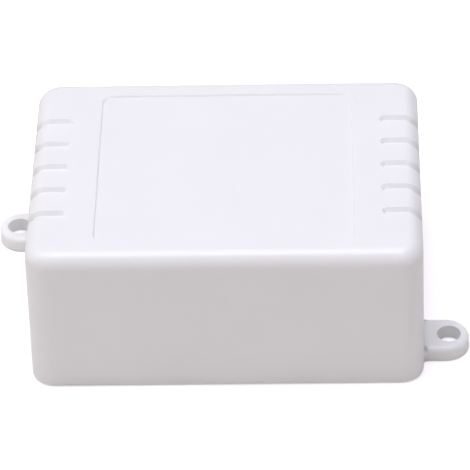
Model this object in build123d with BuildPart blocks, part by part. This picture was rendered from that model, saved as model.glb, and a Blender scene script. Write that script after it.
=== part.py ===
from build123d import *
from math import hypot, radians, sin
import os

# A time delay relay module in a small white wall-mount box.
# Millimetres. +Z is up, the front faces -Y, and the origin is the centre of the underside.
# The housing lifts off a base plate that carries the circuit board and its parts.

# Housing, outside
body_width = 70.0
body_depth = 51.0
body_height = 29.5
draft_angle = 0.63
corner_radius = 4.2
top_edge_radius = 2.7
bottom_edge_radius = 0.4

# Housing, inside
wall = 2.2
roof = 2.2
boss_radius = 3.2
boss_wall_overlap = 0.2
boss_hole_depth = 9.0

# Recessed label area in the roof
label_width = 45.6
label_depth = 41.2
label_recess = 0.3
label_corner = 1.2

# Grip grooves over the two top side edges
groove_count = 5
groove_pitch = 6.45
groove_width = 2.8
groove_depth = 0.6
groove_inset = 7.4
groove_foot = 8.0

# Mounting ears, one on each side wall, level with the underside
ear_thickness = 2.8
ear_half_width = 4.15
ear_reach = 4.05
ear_hole_radius = 2.1
ear_hole_offset = 0.55
ear_from_corner = 9.9
ear_edge_radius = 0.8
ear_root_radius = 1.0
ear_root_overlap = 0.05

# Wire window in the rear wall, and the sill that closes its lower part
window_margin = 0.3
window_top = 14.4
sill_top = 7.4
sill_board_gap = 0.3

# Base plate
plate_thickness = 2.0
plate_gap = 0.3
standoff_radius = 2.6
standoff_height = 4.0
standoff_hole_depth = 4.6

# Screws from below, through the plate into the housing
base_screw_radius = 1.3
base_screw_head_radius = 2.4
base_screw_head_height = 1.2
base_screw_length = 9.0
base_screw_inset = 0.1

# Screws that hold the board
board_screw_radius = 1.1
board_screw_head_radius = 2.0
board_screw_head_height = 1.3
board_screw_length = 6.0

screw_fit = 0.05
screw_hole_clearance = 0.2
cross_width = 0.5
cross_depth = 0.6

# Circuit board
board_thickness = 1.6
board_edge_gap = 0.8
notch_gap = 0.5
board_hole_inset = 3.0
lead_below_board = 2.0

# Screw terminal blocks: the output block has this many poles, and the input block fills its room
terminal_pitch = 5.08
terminal_poles = 3
terminal_depth = 7.8
terminal_wall_gap = 0.5
terminal_block_gap = 0.4
terminal_chamfer = 0.8
cell_front_wall = 1.9
cell_floor = 1.4
entry_width = 3.0
entry_height = 3.5
entry_floor = 1.7
clamp_screw_radius = 1.2
clamp_head_radius = 1.75
clamp_head_height = 1.4
clamp_head_gap = 0.1
clamp_head_sink = 0.4
clamp_seat_gap = 0.05
clamp_seat_thickness = 0.75
clamp_slot_width = 0.6
clamp_slot_depth = 0.7
clamp_travel = 1.5
cage_side_gap = 0.2
cage_end_gap = 0.5
cage_floor_gap = 0.1
cage_top_gap = 0.2
cage_wall = 0.4
cage_screw_gap = 0.1
cage_bar = 0.6
cage_top = 0.8
cage_height = 4.2
cage_depth = 3.6
contact_side_gap = 0.15
contact_thickness = 0.5
contact_top_gap = 0.2
contact_pin_width = 1.0
screw_tip_gap = 0.1

# Relay
relay_length = 19.0
relay_width = 15.4
relay_case_wall = 0.8
relay_case_lift = 0.2
relay_base_thickness = 1.4
relay_from_side = 7.0
relay_from_front = 6.8
coil_offset = 1.5
core_radius = 1.6
pole_radius = 2.6
pole_thickness = 0.5
bobbin_height = 8.9
bobbin_wall = 0.45
bobbin_flange_radius = 4.4
bobbin_flange = 0.7
bobbin_gap = 0.05
winding_radius = 4.1
yoke_thickness = 1.0
yoke_width = 7.0
yoke_from_end = 1.9
hinge_gap = 0.1
air_gap = 0.6
armature_swing = 3.5
armature_thickness = 0.8
armature_width = 6.8
armature_reach = 3.5
armature_tail = 0.8
blade_thickness = 0.25
blade_width = 2.6
blade_from_hinge = 1.1
blade_from_end = 1.9
rivet_radius = 1.0
rivet_height = 0.3
rivet_from_end = 1.0
contact_strip = 0.3
contact_strip_width = 2.0
contact_leg_gap = 0.3
contact_leg_offset = 4.0
contact_open_gap = 0.05
contact_rest_gap = 0.03
relay_roof_gap = 0.1
relay_pin_width = 1.0
relay_pin_thickness = 0.5
coil_pin_offset = 5.5
coil_pin_stand = 1.0

# Delay-setting trimmer
trimmer_size = 6.6
trimmer_depth = 5.0
rotor_radius = 2.0
rotor_fit = 0.05
rotor_depth = 2.4
rotor_stand = 0.3
rotor_slot_width = 0.7
rotor_slot_depth = 0.8
trimmer_hole_radius = 2.2

# Signal lamps
lamp_radius = 1.5
lamp_flange_radius = 1.7
lamp_flange = 0.9
lamp_length = 4.4
lamp_pitch = 3.8
lamp_lead = 0.5
lamp_lead_pitch = 1.3
lamp_hole_radius = 1.7

# Start button
button_width = 4.2
button_height = 5.2
button_depth = 3.4
plunger_radius = 0.9
plunger_fit = 0.05
plunger_reach = 1.5
plunger_inside = 1.0
button_travel = 0.25
button_back_gap = 0.15
button_hole_radius = 1.4

rear_part_gap = 0.6
rear_axis_height = 3.0
rear_face_gap = 0.6

# Range header and its jumper cap
header_pitch = 2.54
header_pins = 3
header_height = 2.5
header_pin = 0.64
header_pin_length = 5.4
jumper_pins = 2
jumper_roof = 0.8
jumper_end_gap = 0.2
jumper_seat_gap = 0.05
jumper_fit = 0.06
jumper_side_gap = 0.1

# Capacitors
filter_radius = 4.0
filter_height = 11.5
timing_radius = 2.5
timing_height = 9.0
can_rim = 0.5
can_groove_height = 1.8
can_groove = 0.3
can_lead = 0.6

# Timer chip and isolator
chip_width = 6.4
chip_height = 3.4
chip_lift = 0.5
chip_leg_span = 7.62
chip_leg_width = 1.2
chip_leg_thickness = 0.3
chip_leg_pitch = 2.54
chip_end_trim = 0.5
timer_legs = 8
isolator_legs = 4
isolator_gap = 2.0

# Diode, transistor, regulator and resistors
diode_radius = 1.35
diode_length = 5.2
diode_lead_radius = 0.4
diode_lead_span = 10.2
small_can_radius = 2.3
small_can_flat = 1.3
small_can_height = 4.6
small_can_lift = 2.0
small_lead = 0.45
small_lead_pitch = 1.27
resistor_length = 3.2
resistor_width = 1.6
resistor_height = 0.6
resistor_gap = 1.6
resistor_columns = 2
resistor_rows = 3

# Space kept between parts on the board, and round each lead in its hole
part_gap = 3.0
relay_side_gap = 2.0
lead_hole_gap = 0.1

# Sizes worked out from the ones above
half_width = body_width / 2
half_depth = body_depth / 2
cavity_width = body_width - 2 * wall
cavity_depth = body_depth - 2 * wall
cavity_height = body_height - roof
cavity_corner = max(corner_radius - wall, 0.5)
boss_x = cavity_width / 2 - boss_radius + boss_wall_overlap
boss_y = cavity_depth / 2 - boss_radius + boss_wall_overlap
board_bottom = plate_thickness + standoff_height
board_top = board_bottom + board_thickness
board_width = cavity_width - 2 * board_edge_gap
board_depth = cavity_depth - 2 * board_edge_gap
notch_x = boss_x - boss_radius - notch_gap
notch_y = boss_y - boss_radius - notch_gap
board_hole_x = board_width / 2 - board_hole_inset
board_hole_y = notch_y - board_hole_inset
lead_length = board_thickness + lead_below_board

# Terminal block: its cell holds the clamp cage and the cage's travel
cage_width = 2 * (clamp_screw_radius + cage_screw_gap + cage_wall)
cell_width = cage_width + 2 * cage_side_gap
cell_depth = cage_depth + 2 * cage_end_gap
cell_height = cage_floor_gap + cage_height + clamp_travel + cage_top_gap
terminal_seat = cell_floor + cell_height + clamp_seat_thickness
terminal_height = terminal_seat + clamp_seat_gap + clamp_head_height + clamp_head_sink
terminal_y = cavity_depth / 2 - terminal_wall_gap - terminal_depth / 2
cell_front = terminal_y - terminal_depth / 2 + cell_front_wall
cell_y = cell_front + cell_depth / 2
cage_bottom = board_top + cell_floor + cage_floor_gap
contact_plate_top = cage_bottom + cage_height - cage_top - contact_top_gap
contact_width = cage_width - 2 * cage_wall - 2 * contact_side_gap

# The row of parts along the rear edge, from left to right: the input block has as many poles as fit
output_width = terminal_poles * terminal_pitch
rear_parts_width = (
    2 * terminal_block_gap + output_width + trimmer_size + lamp_pitch + 2 * lamp_flange_radius
    + button_width + 3 * rear_part_gap
)
input_poles = int((2 * notch_x - rear_parts_width) / terminal_pitch)
input_width = input_poles * terminal_pitch
input_x = -notch_x + terminal_block_gap + input_width / 2
output_x = input_x + input_width / 2 + terminal_block_gap + output_width / 2
trimmer_x = output_x + output_width / 2 + rear_part_gap + trimmer_size / 2
power_lamp_x = trimmer_x + trimmer_size / 2 + rear_part_gap + lamp_flange_radius
relay_lamp_x = power_lamp_x + lamp_pitch
button_x = relay_lamp_x + lamp_flange_radius + rear_part_gap + button_width / 2
rear_axis_z = board_top + rear_axis_height
rear_face = cavity_depth / 2 - rear_face_gap

# The wire window spans both terminal blocks
window_left = input_x - input_width / 2 - window_margin
window_right = output_x + output_width / 2 + window_margin
window_centre = (window_left + window_right) / 2
window_width = window_right - window_left

# Relay, from its base up to its roof
relay_x = -board_width / 2 + relay_from_side + relay_length / 2
relay_y = -board_depth / 2 + relay_from_front + relay_width / 2
relay_floor = board_top + relay_case_lift + relay_base_thickness
coil_x = relay_x - coil_offset
bobbin_bottom = relay_floor + yoke_thickness + bobbin_gap
pole_bottom = bobbin_bottom + bobbin_height + bobbin_gap
armature_bottom = pole_bottom + pole_thickness + air_gap
blade_bottom = armature_bottom + armature_thickness
yoke_top = armature_bottom - hinge_gap
hinge_x = relay_x - relay_length / 2 + yoke_from_end + yoke_thickness / 2
blade_end = relay_x + relay_length / 2 - blade_from_end
rivet_x = blade_end - rivet_from_end
contact_leg_x = blade_end + contact_leg_gap + contact_strip / 2
closed_contact_z = blade_bottom + blade_thickness + rivet_height + contact_rest_gap
swing_drop = (rivet_x + rivet_radius - hinge_x) * sin(radians(armature_swing))
open_contact_z = blade_bottom - rivet_height - swing_drop - contact_open_gap
relay_roof = closed_contact_z + contact_strip + relay_roof_gap + relay_case_wall

# Places of the other parts on the board
timer_length = timer_legs / 2 * chip_leg_pitch - chip_end_trim
isolator_length = isolator_legs / 2 * chip_leg_pitch - chip_end_trim
filter_x = relay_x + relay_length / 2 + relay_side_gap + filter_radius
filter_y = relay_y - part_gap
timing_x = filter_x
timing_y = filter_y + filter_radius + part_gap + timing_radius
transistor_x = timing_x
transistor_y = timing_y + timing_radius + part_gap + small_can_radius
timer_x = filter_x + filter_radius + part_gap + chip_leg_span / 2
timer_y = relay_y
header_x = timer_x + chip_leg_span / 2 + part_gap + header_pitch / 2
header_y = timer_y
regulator_x = header_x
regulator_y = header_y + header_pins * header_pitch / 2 + part_gap + small_can_radius
diode_reach = diode_lead_span / 2 + diode_lead_radius
diode_x = relay_x - relay_length / 2 + diode_reach
diode_y = relay_y + relay_width / 2 + part_gap + isolator_length / 2
isolator_x = diode_x + diode_reach + isolator_gap + (chip_leg_span + chip_leg_thickness) / 2
isolator_y = diode_y
resistor_x = timer_x
resistor_y = timer_y + timer_length / 2 + part_gap + resistor_rows * (resistor_width + resistor_gap) / 2

os.makedirs("parts", exist_ok=True)


def save(piece, name):
    """Labels a finished piece and writes its file."""
    piece.part.label = name
    export_step(piece.part, f"parts/{name}.step")


# Housing: one moulding with its ears, corner bosses and rear openings
with BuildPart() as ear:
    with BuildSketch() as ear_outline:
        root_x = half_width - wall / 2
        face_x = half_width - ear_root_overlap
        with Locations(((root_x + face_x) / 2, 0)):
            Rectangle(face_x - root_x, 2 * (ear_half_width + 2 * ear_root_radius))
        with Locations(((root_x + half_width + ear_reach) / 2, 0)):
            Rectangle(half_width + ear_reach - root_x, 2 * ear_half_width)
        with Locations((half_width + ear_reach, 0)):
            Circle(ear_half_width)
        inner_corners = ear_outline.vertices().filter_by(
            lambda v: abs(v.X - face_x) < 0.01 and abs(abs(v.Y) - ear_half_width) < 0.01
        )
        fillet(inner_corners, ear_root_radius)
    extrude(amount=ear_thickness)
    ear_rim = ear.faces().sort_by(Axis.Z)[-1].edges().filter_by(lambda e: e.center().X > face_x)
    fillet(ear_rim, min(ear_edge_radius, 0.6 * ear_thickness))
    with Locations((half_width + ear_reach + ear_hole_offset, 0, ear_thickness)):
        Hole(ear_hole_radius)

with BuildPart() as groove_floor:
    with BuildSketch():
        RectangleRounded(
            body_width - 2 * groove_depth,
            body_depth - 2 * groove_depth,
            max(corner_radius - groove_depth, 0.3),
        )
    extrude(amount=body_height - groove_depth, taper=draft_angle)
    fillet(groove_floor.faces().sort_by(Axis.Z)[-1].edges(), max(top_edge_radius - groove_depth, 0.3))

with BuildPart() as grooves:
    groove_length = groove_inset + 2 * groove_width
    groove_centre = half_width - groove_inset + groove_length / 2
    with BuildSketch():
        with GridLocations(2 * groove_centre, groove_pitch, 2, groove_count):
            SlotOverall(groove_length, groove_width)
    extrude(amount=body_height + groove_depth)
    with BuildSketch(Plane.YZ):
        groove_rise = body_height - groove_foot + 2 * groove_width
        with Locations((0, groove_foot + groove_rise / 2)):
            with GridLocations(groove_pitch, 1, groove_count, 1):
                SlotOverall(groove_rise, groove_width, rotation=90)
    extrude(amount=body_width, both=True, mode=Mode.INTERSECT)
    add(groove_floor.part, mode=Mode.SUBTRACT)

with BuildPart() as housing_shell:
    with BuildSketch():
        RectangleRounded(body_width, body_depth, corner_radius)
    extrude(amount=body_height, taper=draft_angle)
    fillet(housing_shell.faces().sort_by(Axis.Z)[-1].edges(), top_edge_radius)
    fillet(housing_shell.faces().sort_by(Axis.Z)[0].edges(), bottom_edge_radius)
    with Locations((0, -half_depth + ear_from_corner, 0)):
        add(ear.part)
    with Locations(Location((0, half_depth - ear_from_corner, 0), (0, 0, 180))):
        add(ear.part)
    with BuildSketch():
        RectangleRounded(cavity_width, cavity_depth, cavity_corner)
    extrude(amount=cavity_height, taper=draft_angle, mode=Mode.SUBTRACT)
    with BuildSketch(Plane.XY.offset(plate_thickness)):
        with GridLocations(2 * boss_x, 2 * boss_y, 2, 2):
            Circle(boss_radius)
    extrude(amount=cavity_height + label_recess - plate_thickness)
    with BuildSketch(Plane.XY.offset(plate_thickness)):
        with GridLocations(2 * boss_x, 2 * boss_y, 2, 2):
            Circle(base_screw_radius + screw_fit)
    extrude(amount=boss_hole_depth, mode=Mode.SUBTRACT)
    add(grooves.part, mode=Mode.SUBTRACT)
    with BuildSketch(Plane.XY.offset(body_height)):
        RectangleRounded(label_width, label_depth, label_corner)
    extrude(amount=-label_recess, mode=Mode.SUBTRACT)
    with BuildSketch(Plane.XZ.offset(-half_depth - 1)):
        with Locations((window_centre, window_top / 2)):
            Rectangle(window_width, window_top)
        with Locations((trimmer_x, rear_axis_z)):
            Circle(trimmer_hole_radius)
        with Locations((power_lamp_x, rear_axis_z), (relay_lamp_x, rear_axis_z)):
            Circle(lamp_hole_radius)
        with Locations((button_x, rear_axis_z)):
            Circle(button_hole_radius)
    extrude(amount=wall + 2, mode=Mode.SUBTRACT)
save(housing_shell, "housing_shell")

# Base plate: board standoffs, screw holes from below and the sill under the wire window
with BuildPart() as base_plate:
    with BuildSketch():
        RectangleRounded(
            cavity_width - 2 * plate_gap,
            cavity_depth - 2 * plate_gap,
            max(cavity_corner - plate_gap, 0.3),
        )
        sill_width = window_width - 2 * plate_gap
        sill_front = board_depth / 2 + sill_board_gap
        foot_front = sill_front - 2 * wall
        with Locations((window_centre, (foot_front + half_depth) / 2)):
            Rectangle(sill_width, half_depth - foot_front)
    extrude(amount=plate_thickness)
    with BuildSketch():
        with Locations((window_centre, (sill_front + half_depth) / 2)):
            Rectangle(sill_width, half_depth - sill_front)
    extrude(amount=sill_top)
    with BuildSketch(Plane.XY.offset(plate_thickness)):
        with GridLocations(2 * board_hole_x, 2 * board_hole_y, 2, 2):
            Circle(standoff_radius)
    extrude(amount=standoff_height)
    with BuildSketch(Plane.XY.offset(board_bottom)):
        with GridLocations(2 * board_hole_x, 2 * board_hole_y, 2, 2):
            Circle(board_screw_radius)
    extrude(amount=-standoff_hole_depth, mode=Mode.SUBTRACT)
    with Locations(Plane.XY.rotated((180, 0, 0))):
        with GridLocations(2 * boss_x, 2 * boss_y, 2, 2):
            CounterSinkHole(
                base_screw_radius + screw_hole_clearance,
                base_screw_head_radius + base_screw_inset,
            )
save(base_plate, "base_plate")


def make_screw(shank_radius, length, head_radius, head_height, countersunk):
    """A screw on the Z axis, its head's underside or rim at the origin, pointing down."""
    with BuildPart() as screw:
        with BuildSketch(Plane.XZ):
            with BuildLine():
                if countersunk:
                    Polyline(
                        (0, 0), (head_radius, 0), (shank_radius, -head_height),
                        (shank_radius, -length + shank_radius), (0, -length), (0, 0),
                    )
                else:
                    Polyline(
                        (0, head_height), (0.7 * head_radius, head_height),
                        (head_radius, head_height / 2), (head_radius, 0), (shank_radius, 0),
                        (shank_radius, -length), (0, -length), (0, head_height),
                    )
            make_face()
        revolve(axis=Axis.Z)
        top = 0 if countersunk else head_height
        with BuildSketch(Plane.XY.offset(top)):
            Rectangle(1.2 * head_radius, cross_width)
            Rectangle(cross_width, 1.2 * head_radius)
        extrude(amount=-cross_depth, mode=Mode.SUBTRACT)
    return screw.part


with BuildPart() as base_screws:
    base_screw = make_screw(
        base_screw_radius, base_screw_length, base_screw_head_radius, base_screw_head_height, True
    )
    with GridLocations(2 * boss_x, 2 * boss_y, 2, 2):
        with Locations(Location((0, 0, base_screw_inset), (180, 0, 0))):
            add(base_screw)
save(base_screws, "base_screws")

with BuildPart() as board_screws:
    board_screw = make_screw(
        board_screw_radius, board_screw_length, board_screw_head_radius, board_screw_head_height, False
    )
    with Locations((0, 0, board_top)):
        with GridLocations(2 * board_hole_x, 2 * board_hole_y, 2, 2):
            add(board_screw)
save(board_screws, "board_screws")


def make_leads(points, top, width, thickness):
    """Straight leads of one width and thickness at these points, from top down through the board."""
    with BuildPart() as leads:
        with BuildSketch(Plane.XY.offset(top)):
            with Locations(*points):
                Rectangle(width, thickness)
        extrude(amount=-(top - board_top + lead_length))
    return leads.part


# Terminal blocks: a moulded body, and for each pole a clamp cage, its screw and a fixed contact
contact_points = []
for block, block_x, block_width in (("input", input_x, input_width), ("output", output_x, output_width)):
    count = round(block_width / terminal_pitch)
    poles = [block_x + (pole - (count - 1) / 2) * terminal_pitch for pole in range(count)]
    contact_y = cell_front - contact_thickness / 2
    contact_points += [(x, contact_y) for x in poles]

    with BuildPart() as terminal_body:
        with BuildSketch(Plane.XY.offset(board_top)):
            with Locations((block_x, terminal_y)):
                Rectangle(block_width, terminal_depth)
        extrude(amount=terminal_height)
        chamfer(terminal_body.faces().sort_by(Axis.Z)[-1].edges().filter_by(Axis.X), terminal_chamfer)
        with BuildSketch(Plane.XY.offset(board_top + cell_floor)):
            with Locations(*[(x, cell_y) for x in poles]):
                Rectangle(cell_width, cell_depth)
        extrude(amount=cell_height, mode=Mode.SUBTRACT)
        with BuildSketch(Plane.XZ.offset(-terminal_y - terminal_depth / 2)):
            with Locations(*[(x, board_top + entry_floor + entry_height / 2) for x in poles]):
                Rectangle(entry_width, entry_height)
        extrude(amount=terminal_depth - cell_front_wall - cell_depth / 2, mode=Mode.SUBTRACT)
        with BuildSketch(Plane.XY.offset(board_top)):
            with Locations(*[(x, contact_y) for x in poles]):
                Rectangle(contact_width, contact_thickness)
        extrude(amount=contact_plate_top - board_top, mode=Mode.SUBTRACT)
        with BuildSketch(Plane.XY.offset(board_top + cell_floor + cell_height)):
            with Locations(*[(x, cell_y) for x in poles]):
                Circle(clamp_screw_radius + clamp_head_gap)
        extrude(amount=terminal_height, mode=Mode.SUBTRACT)
        with BuildSketch(Plane.XY.offset(board_top + terminal_seat)):
            with Locations(*[(x, cell_y) for x in poles]):
                Circle(clamp_head_radius + clamp_head_gap)
        extrude(amount=terminal_height, mode=Mode.SUBTRACT)
    save(terminal_body, f"{block}_terminal_body")

    with BuildPart() as contacts:
        plate_length = cell_y + cage_depth / 2 - cell_front + contact_thickness
        with BuildSketch(Plane.XY.offset(contact_plate_top)):
            with Locations(*[(x, cell_front - contact_thickness + plate_length / 2) for x in poles]):
                Rectangle(contact_width, plate_length)
        extrude(amount=-contact_thickness)
        with BuildSketch(Plane.XY.offset(contact_plate_top)):
            with Locations(*[(x, contact_y) for x in poles]):
                Rectangle(contact_width, contact_thickness)
        extrude(amount=-(contact_plate_top - board_top))
        add(make_leads([(x, contact_y) for x in poles], board_top, contact_pin_width, contact_thickness))
    save(contacts, f"{block}_contacts")

    for number, x in enumerate(poles, start=1):
        with BuildPart() as clamp_cage:
            with BuildSketch(Plane.XY.offset(cage_bottom)):
                with Locations((x, cell_y)):
                    Rectangle(cage_width, cage_depth)
            extrude(amount=cage_height)
            with BuildSketch(Plane.XY.offset(cage_bottom + cage_bar)):
                with Locations((x, cell_y)):
                    Rectangle(cage_width - 2 * cage_wall, cage_depth)
            extrude(amount=cage_height - cage_bar - cage_top, mode=Mode.SUBTRACT)
            with BuildSketch(Plane.XY.offset(cage_bottom + cage_height - cage_top)):
                with Locations((x, cell_y)):
                    Circle(clamp_screw_radius + screw_fit)
            extrude(amount=cage_top, mode=Mode.SUBTRACT)
        save(clamp_cage, f"{block}_clamp_cage_{number}")

        with BuildPart() as clamp_screw:
            head_bottom = board_top + terminal_seat + clamp_seat_gap
            with BuildSketch(Plane.XY.offset(contact_plate_top + screw_tip_gap)):
                with Locations((x, cell_y)):
                    Circle(clamp_screw_radius)
            extrude(amount=head_bottom - contact_plate_top - screw_tip_gap)
            with BuildSketch(Plane.XY.offset(head_bottom)):
                with Locations((x, cell_y)):
                    Circle(clamp_head_radius)
            extrude(amount=clamp_head_height)
            with BuildSketch(Plane.XY.offset(head_bottom + clamp_head_height)):
                with Locations((x, cell_y)):
                    Rectangle(3 * clamp_head_radius, clamp_slot_width)
            extrude(amount=-clamp_slot_depth, mode=Mode.SUBTRACT)
        save(clamp_screw, f"{block}_clamp_screw_{number}")

# Relay: case and base, coil on its core and yoke, and the armature that carries the moving contact
coil_pins = [(hinge_x, relay_y - coil_pin_offset), (hinge_x, relay_y + coil_pin_offset)]
common_pin = [(hinge_x, relay_y)]
contact_pins = [(contact_leg_x, relay_y + side * contact_leg_offset) for side in (-1, 1)]

with BuildPart() as relay_case:
    with BuildSketch(Plane.XY.offset(board_top + relay_case_lift)):
        with Locations((relay_x, relay_y)):
            Rectangle(relay_length, relay_width)
    extrude(amount=relay_roof - board_top - relay_case_lift)
    fillet(relay_case.edges().filter_by(Axis.Z), relay_case_wall / 2)
    fillet(relay_case.faces().sort_by(Axis.Z)[-1].edges(), relay_case_wall / 2)
    with BuildSketch(Plane.XY.offset(board_top + relay_case_lift)):
        with Locations((relay_x, relay_y)):
            Rectangle(relay_length - 2 * relay_case_wall, relay_width - 2 * relay_case_wall)
    extrude(amount=relay_roof - relay_case_wall - board_top - relay_case_lift, mode=Mode.SUBTRACT)
save(relay_case, "relay_case")

with BuildPart() as relay_base:
    with BuildSketch(Plane.XY.offset(board_top + relay_case_lift)):
        with Locations((relay_x, relay_y)):
            Rectangle(relay_length - 2 * relay_case_wall, relay_width - 2 * relay_case_wall)
        with Locations(*coil_pins, *common_pin):
            Rectangle(relay_pin_thickness, relay_pin_width, mode=Mode.SUBTRACT)
        with Locations(*contact_pins):
            Rectangle(contact_strip, relay_pin_width, mode=Mode.SUBTRACT)
    extrude(amount=relay_base_thickness)
save(relay_base, "relay_base")

with BuildPart() as relay_yoke:
    yoke_back = hinge_x - yoke_thickness / 2
    yoke_front = coil_x + pole_radius
    with BuildSketch(Plane.XY.offset(relay_floor)):
        with Locations(((yoke_back + yoke_front) / 2, relay_y)):
            Rectangle(yoke_front - yoke_back, yoke_width)
    extrude(amount=yoke_thickness)
    with BuildSketch(Plane.XY.offset(relay_floor)):
        with Locations((hinge_x, relay_y)):
            Rectangle(yoke_thickness, yoke_width)
    extrude(amount=yoke_top - relay_floor)
    add(make_leads(common_pin, relay_floor, relay_pin_thickness, relay_pin_width))
save(relay_yoke, "relay_yoke")

with BuildPart() as relay_core:
    with BuildSketch(Plane.XY.offset(relay_floor + yoke_thickness)):
        with Locations((coil_x, relay_y)):
            Circle(core_radius)
    extrude(amount=pole_bottom - relay_floor - yoke_thickness)
    with BuildSketch(Plane.XY.offset(pole_bottom)):
        with Locations((coil_x, relay_y)):
            Circle(pole_radius)
    extrude(amount=pole_thickness)
save(relay_core, "relay_core")

with BuildPart() as relay_bobbin:
    with BuildSketch(Plane.XY.offset(bobbin_bottom)):
        with Locations((coil_x, relay_y)):
            Circle(bobbin_flange_radius)
    extrude(amount=bobbin_height)
    with BuildSketch(Plane.XY.offset(bobbin_bottom + bobbin_flange)):
        with Locations((coil_x, relay_y)):
            Circle(bobbin_flange_radius)
            Circle(core_radius + bobbin_gap + bobbin_wall, mode=Mode.SUBTRACT)
    extrude(amount=bobbin_height - 2 * bobbin_flange, mode=Mode.SUBTRACT)
    with BuildSketch(Plane.XY.offset(bobbin_bottom)):
        with Locations((coil_x, relay_y)):
            Circle(core_radius + bobbin_gap)
    extrude(amount=bobbin_height, mode=Mode.SUBTRACT)
save(relay_bobbin, "relay_bobbin")

with BuildPart() as relay_winding:
    with BuildSketch(Plane.XY.offset(bobbin_bottom + bobbin_flange)):
        with Locations((coil_x, relay_y)):
            Circle(winding_radius)
            Circle(core_radius + bobbin_gap + bobbin_wall, mode=Mode.SUBTRACT)
    extrude(amount=bobbin_height - 2 * bobbin_flange)
save(relay_winding, "relay_winding")

with BuildPart() as relay_armature:
    armature_back = hinge_x - armature_tail
    armature_front = coil_x + armature_reach
    with BuildSketch(Plane.XY.offset(armature_bottom)):
        with Locations(((armature_back + armature_front) / 2, relay_y)):
            Rectangle(armature_front - armature_back, armature_width)
    extrude(amount=armature_thickness)
save(relay_armature, "relay_armature")

with BuildPart() as contact_blade:
    blade_back = hinge_x + blade_from_hinge
    with BuildSketch(Plane.XY.offset(blade_bottom)):
        with Locations(((blade_back + blade_end) / 2, relay_y)):
            Rectangle(blade_end - blade_back, blade_width)
    extrude(amount=blade_thickness)
    with BuildSketch(Plane.XY.offset(blade_bottom - rivet_height)):
        with Locations((rivet_x, relay_y)):
            Circle(rivet_radius)
    extrude(amount=blade_thickness + 2 * rivet_height)
save(contact_blade, "contact_blade")

for name, side, underside, lead in (
    ("open_contact", -1, open_contact_z - contact_strip, contact_pins[0]),
    ("closed_contact", 1, closed_contact_z, contact_pins[1]),
):
    with BuildPart() as fixed_contact:
        strip_back = rivet_x - rivet_radius
        strip_front = contact_leg_x + contact_strip / 2
        strip_reach = contact_leg_offset + contact_strip_width / 2
        with BuildSketch(Plane.XY.offset(underside)):
            strip_middle = relay_y + side * (strip_reach - rivet_radius) / 2
            with Locations(((strip_back + strip_front) / 2, strip_middle)):
                Rectangle(strip_front - strip_back, strip_reach + rivet_radius)
        extrude(amount=contact_strip)
        with BuildSketch(Plane.XY.offset(relay_floor)):
            with Locations(lead):
                Rectangle(contact_strip, contact_strip_width)
        extrude(amount=underside + contact_strip - relay_floor)
        add(make_leads([lead], relay_floor, contact_strip, relay_pin_width))
    save(fixed_contact, name)

with BuildPart() as relay_coil_pins:
    add(make_leads(coil_pins, relay_floor + coil_pin_stand, relay_pin_thickness, relay_pin_width))
save(relay_coil_pins, "relay_coil_pins")

# Delay trimmer: a square body with its rotor facing the hole in the rear wall
trimmer_face = rear_face - rotor_stand
trimmer_pins = [
    (trimmer_x - header_pitch, trimmer_face - trimmer_depth / 2),
    (trimmer_x, trimmer_face - trimmer_depth + can_lead),
    (trimmer_x + header_pitch, trimmer_face - trimmer_depth / 2),
]
with BuildPart() as trimmer_body:
    with BuildSketch(Plane.XY.offset(board_top)):
        with Locations((trimmer_x, trimmer_face - trimmer_depth / 2)):
            Rectangle(trimmer_size, trimmer_depth)
    extrude(amount=trimmer_size)
    with BuildSketch(Plane.XZ.offset(-trimmer_face)):
        with Locations((trimmer_x, rear_axis_z)):
            Circle(rotor_radius + rotor_fit)
    extrude(amount=rotor_depth, mode=Mode.SUBTRACT)
save(trimmer_body, "trimmer_body")

with BuildPart() as trimmer_rotor:
    with BuildSketch(Plane.XZ.offset(-rear_face)):
        with Locations((trimmer_x, rear_axis_z)):
            Circle(rotor_radius)
    extrude(amount=rotor_stand + rotor_depth - rotor_fit)
    with BuildSketch(Plane.XZ.offset(-rear_face)):
        with Locations((trimmer_x, rear_axis_z)):
            Rectangle(1.5 * rotor_radius, rotor_slot_width)
    extrude(amount=rotor_slot_depth, mode=Mode.SUBTRACT)
save(trimmer_rotor, "trimmer_rotor")

with BuildPart() as trimmer_leads:
    add(make_leads(trimmer_pins, board_top, can_lead, can_lead))
save(trimmer_leads, "trimmer_leads")

# Signal lamps: two round lamps lying towards the rear wall, on bent leads
lamp_back = rear_face - lamp_length
lamp_bend = lamp_back - lamp_flange - lamp_lead_pitch
lamp_points = []
for name, x in (("power_lamp", power_lamp_x), ("relay_lamp", relay_lamp_x)):
    lamp_points += [(x - lamp_lead_pitch / 2, lamp_bend), (x + lamp_lead_pitch / 2, lamp_bend)]
    with BuildPart() as lamp:
        with BuildSketch(Plane.XZ.offset(-rear_face)):
            with Locations((x, rear_axis_z)):
                Circle(lamp_radius)
        extrude(amount=lamp_length)
        fillet(lamp.faces().sort_by(Axis.Y)[-1].edges(), 0.9 * lamp_radius)
        with BuildSketch(Plane.XZ.offset(-lamp_back)):
            with Locations((x, rear_axis_z)):
                Circle(lamp_flange_radius)
        extrude(amount=lamp_flange)
    save(lamp, name)

with BuildPart() as lamp_leads:
    add(make_leads(lamp_points, rear_axis_z + lamp_lead / 2, lamp_lead, lamp_lead))
    with BuildSketch(Plane.XZ.offset(-lamp_back + lamp_flange)):
        with Locations(*[(x, rear_axis_z) for x, y in lamp_points]):
            Rectangle(lamp_lead, lamp_lead)
    extrude(amount=lamp_back - lamp_flange - lamp_bend + lamp_lead / 2)
save(lamp_leads, "lamp_leads")

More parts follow.
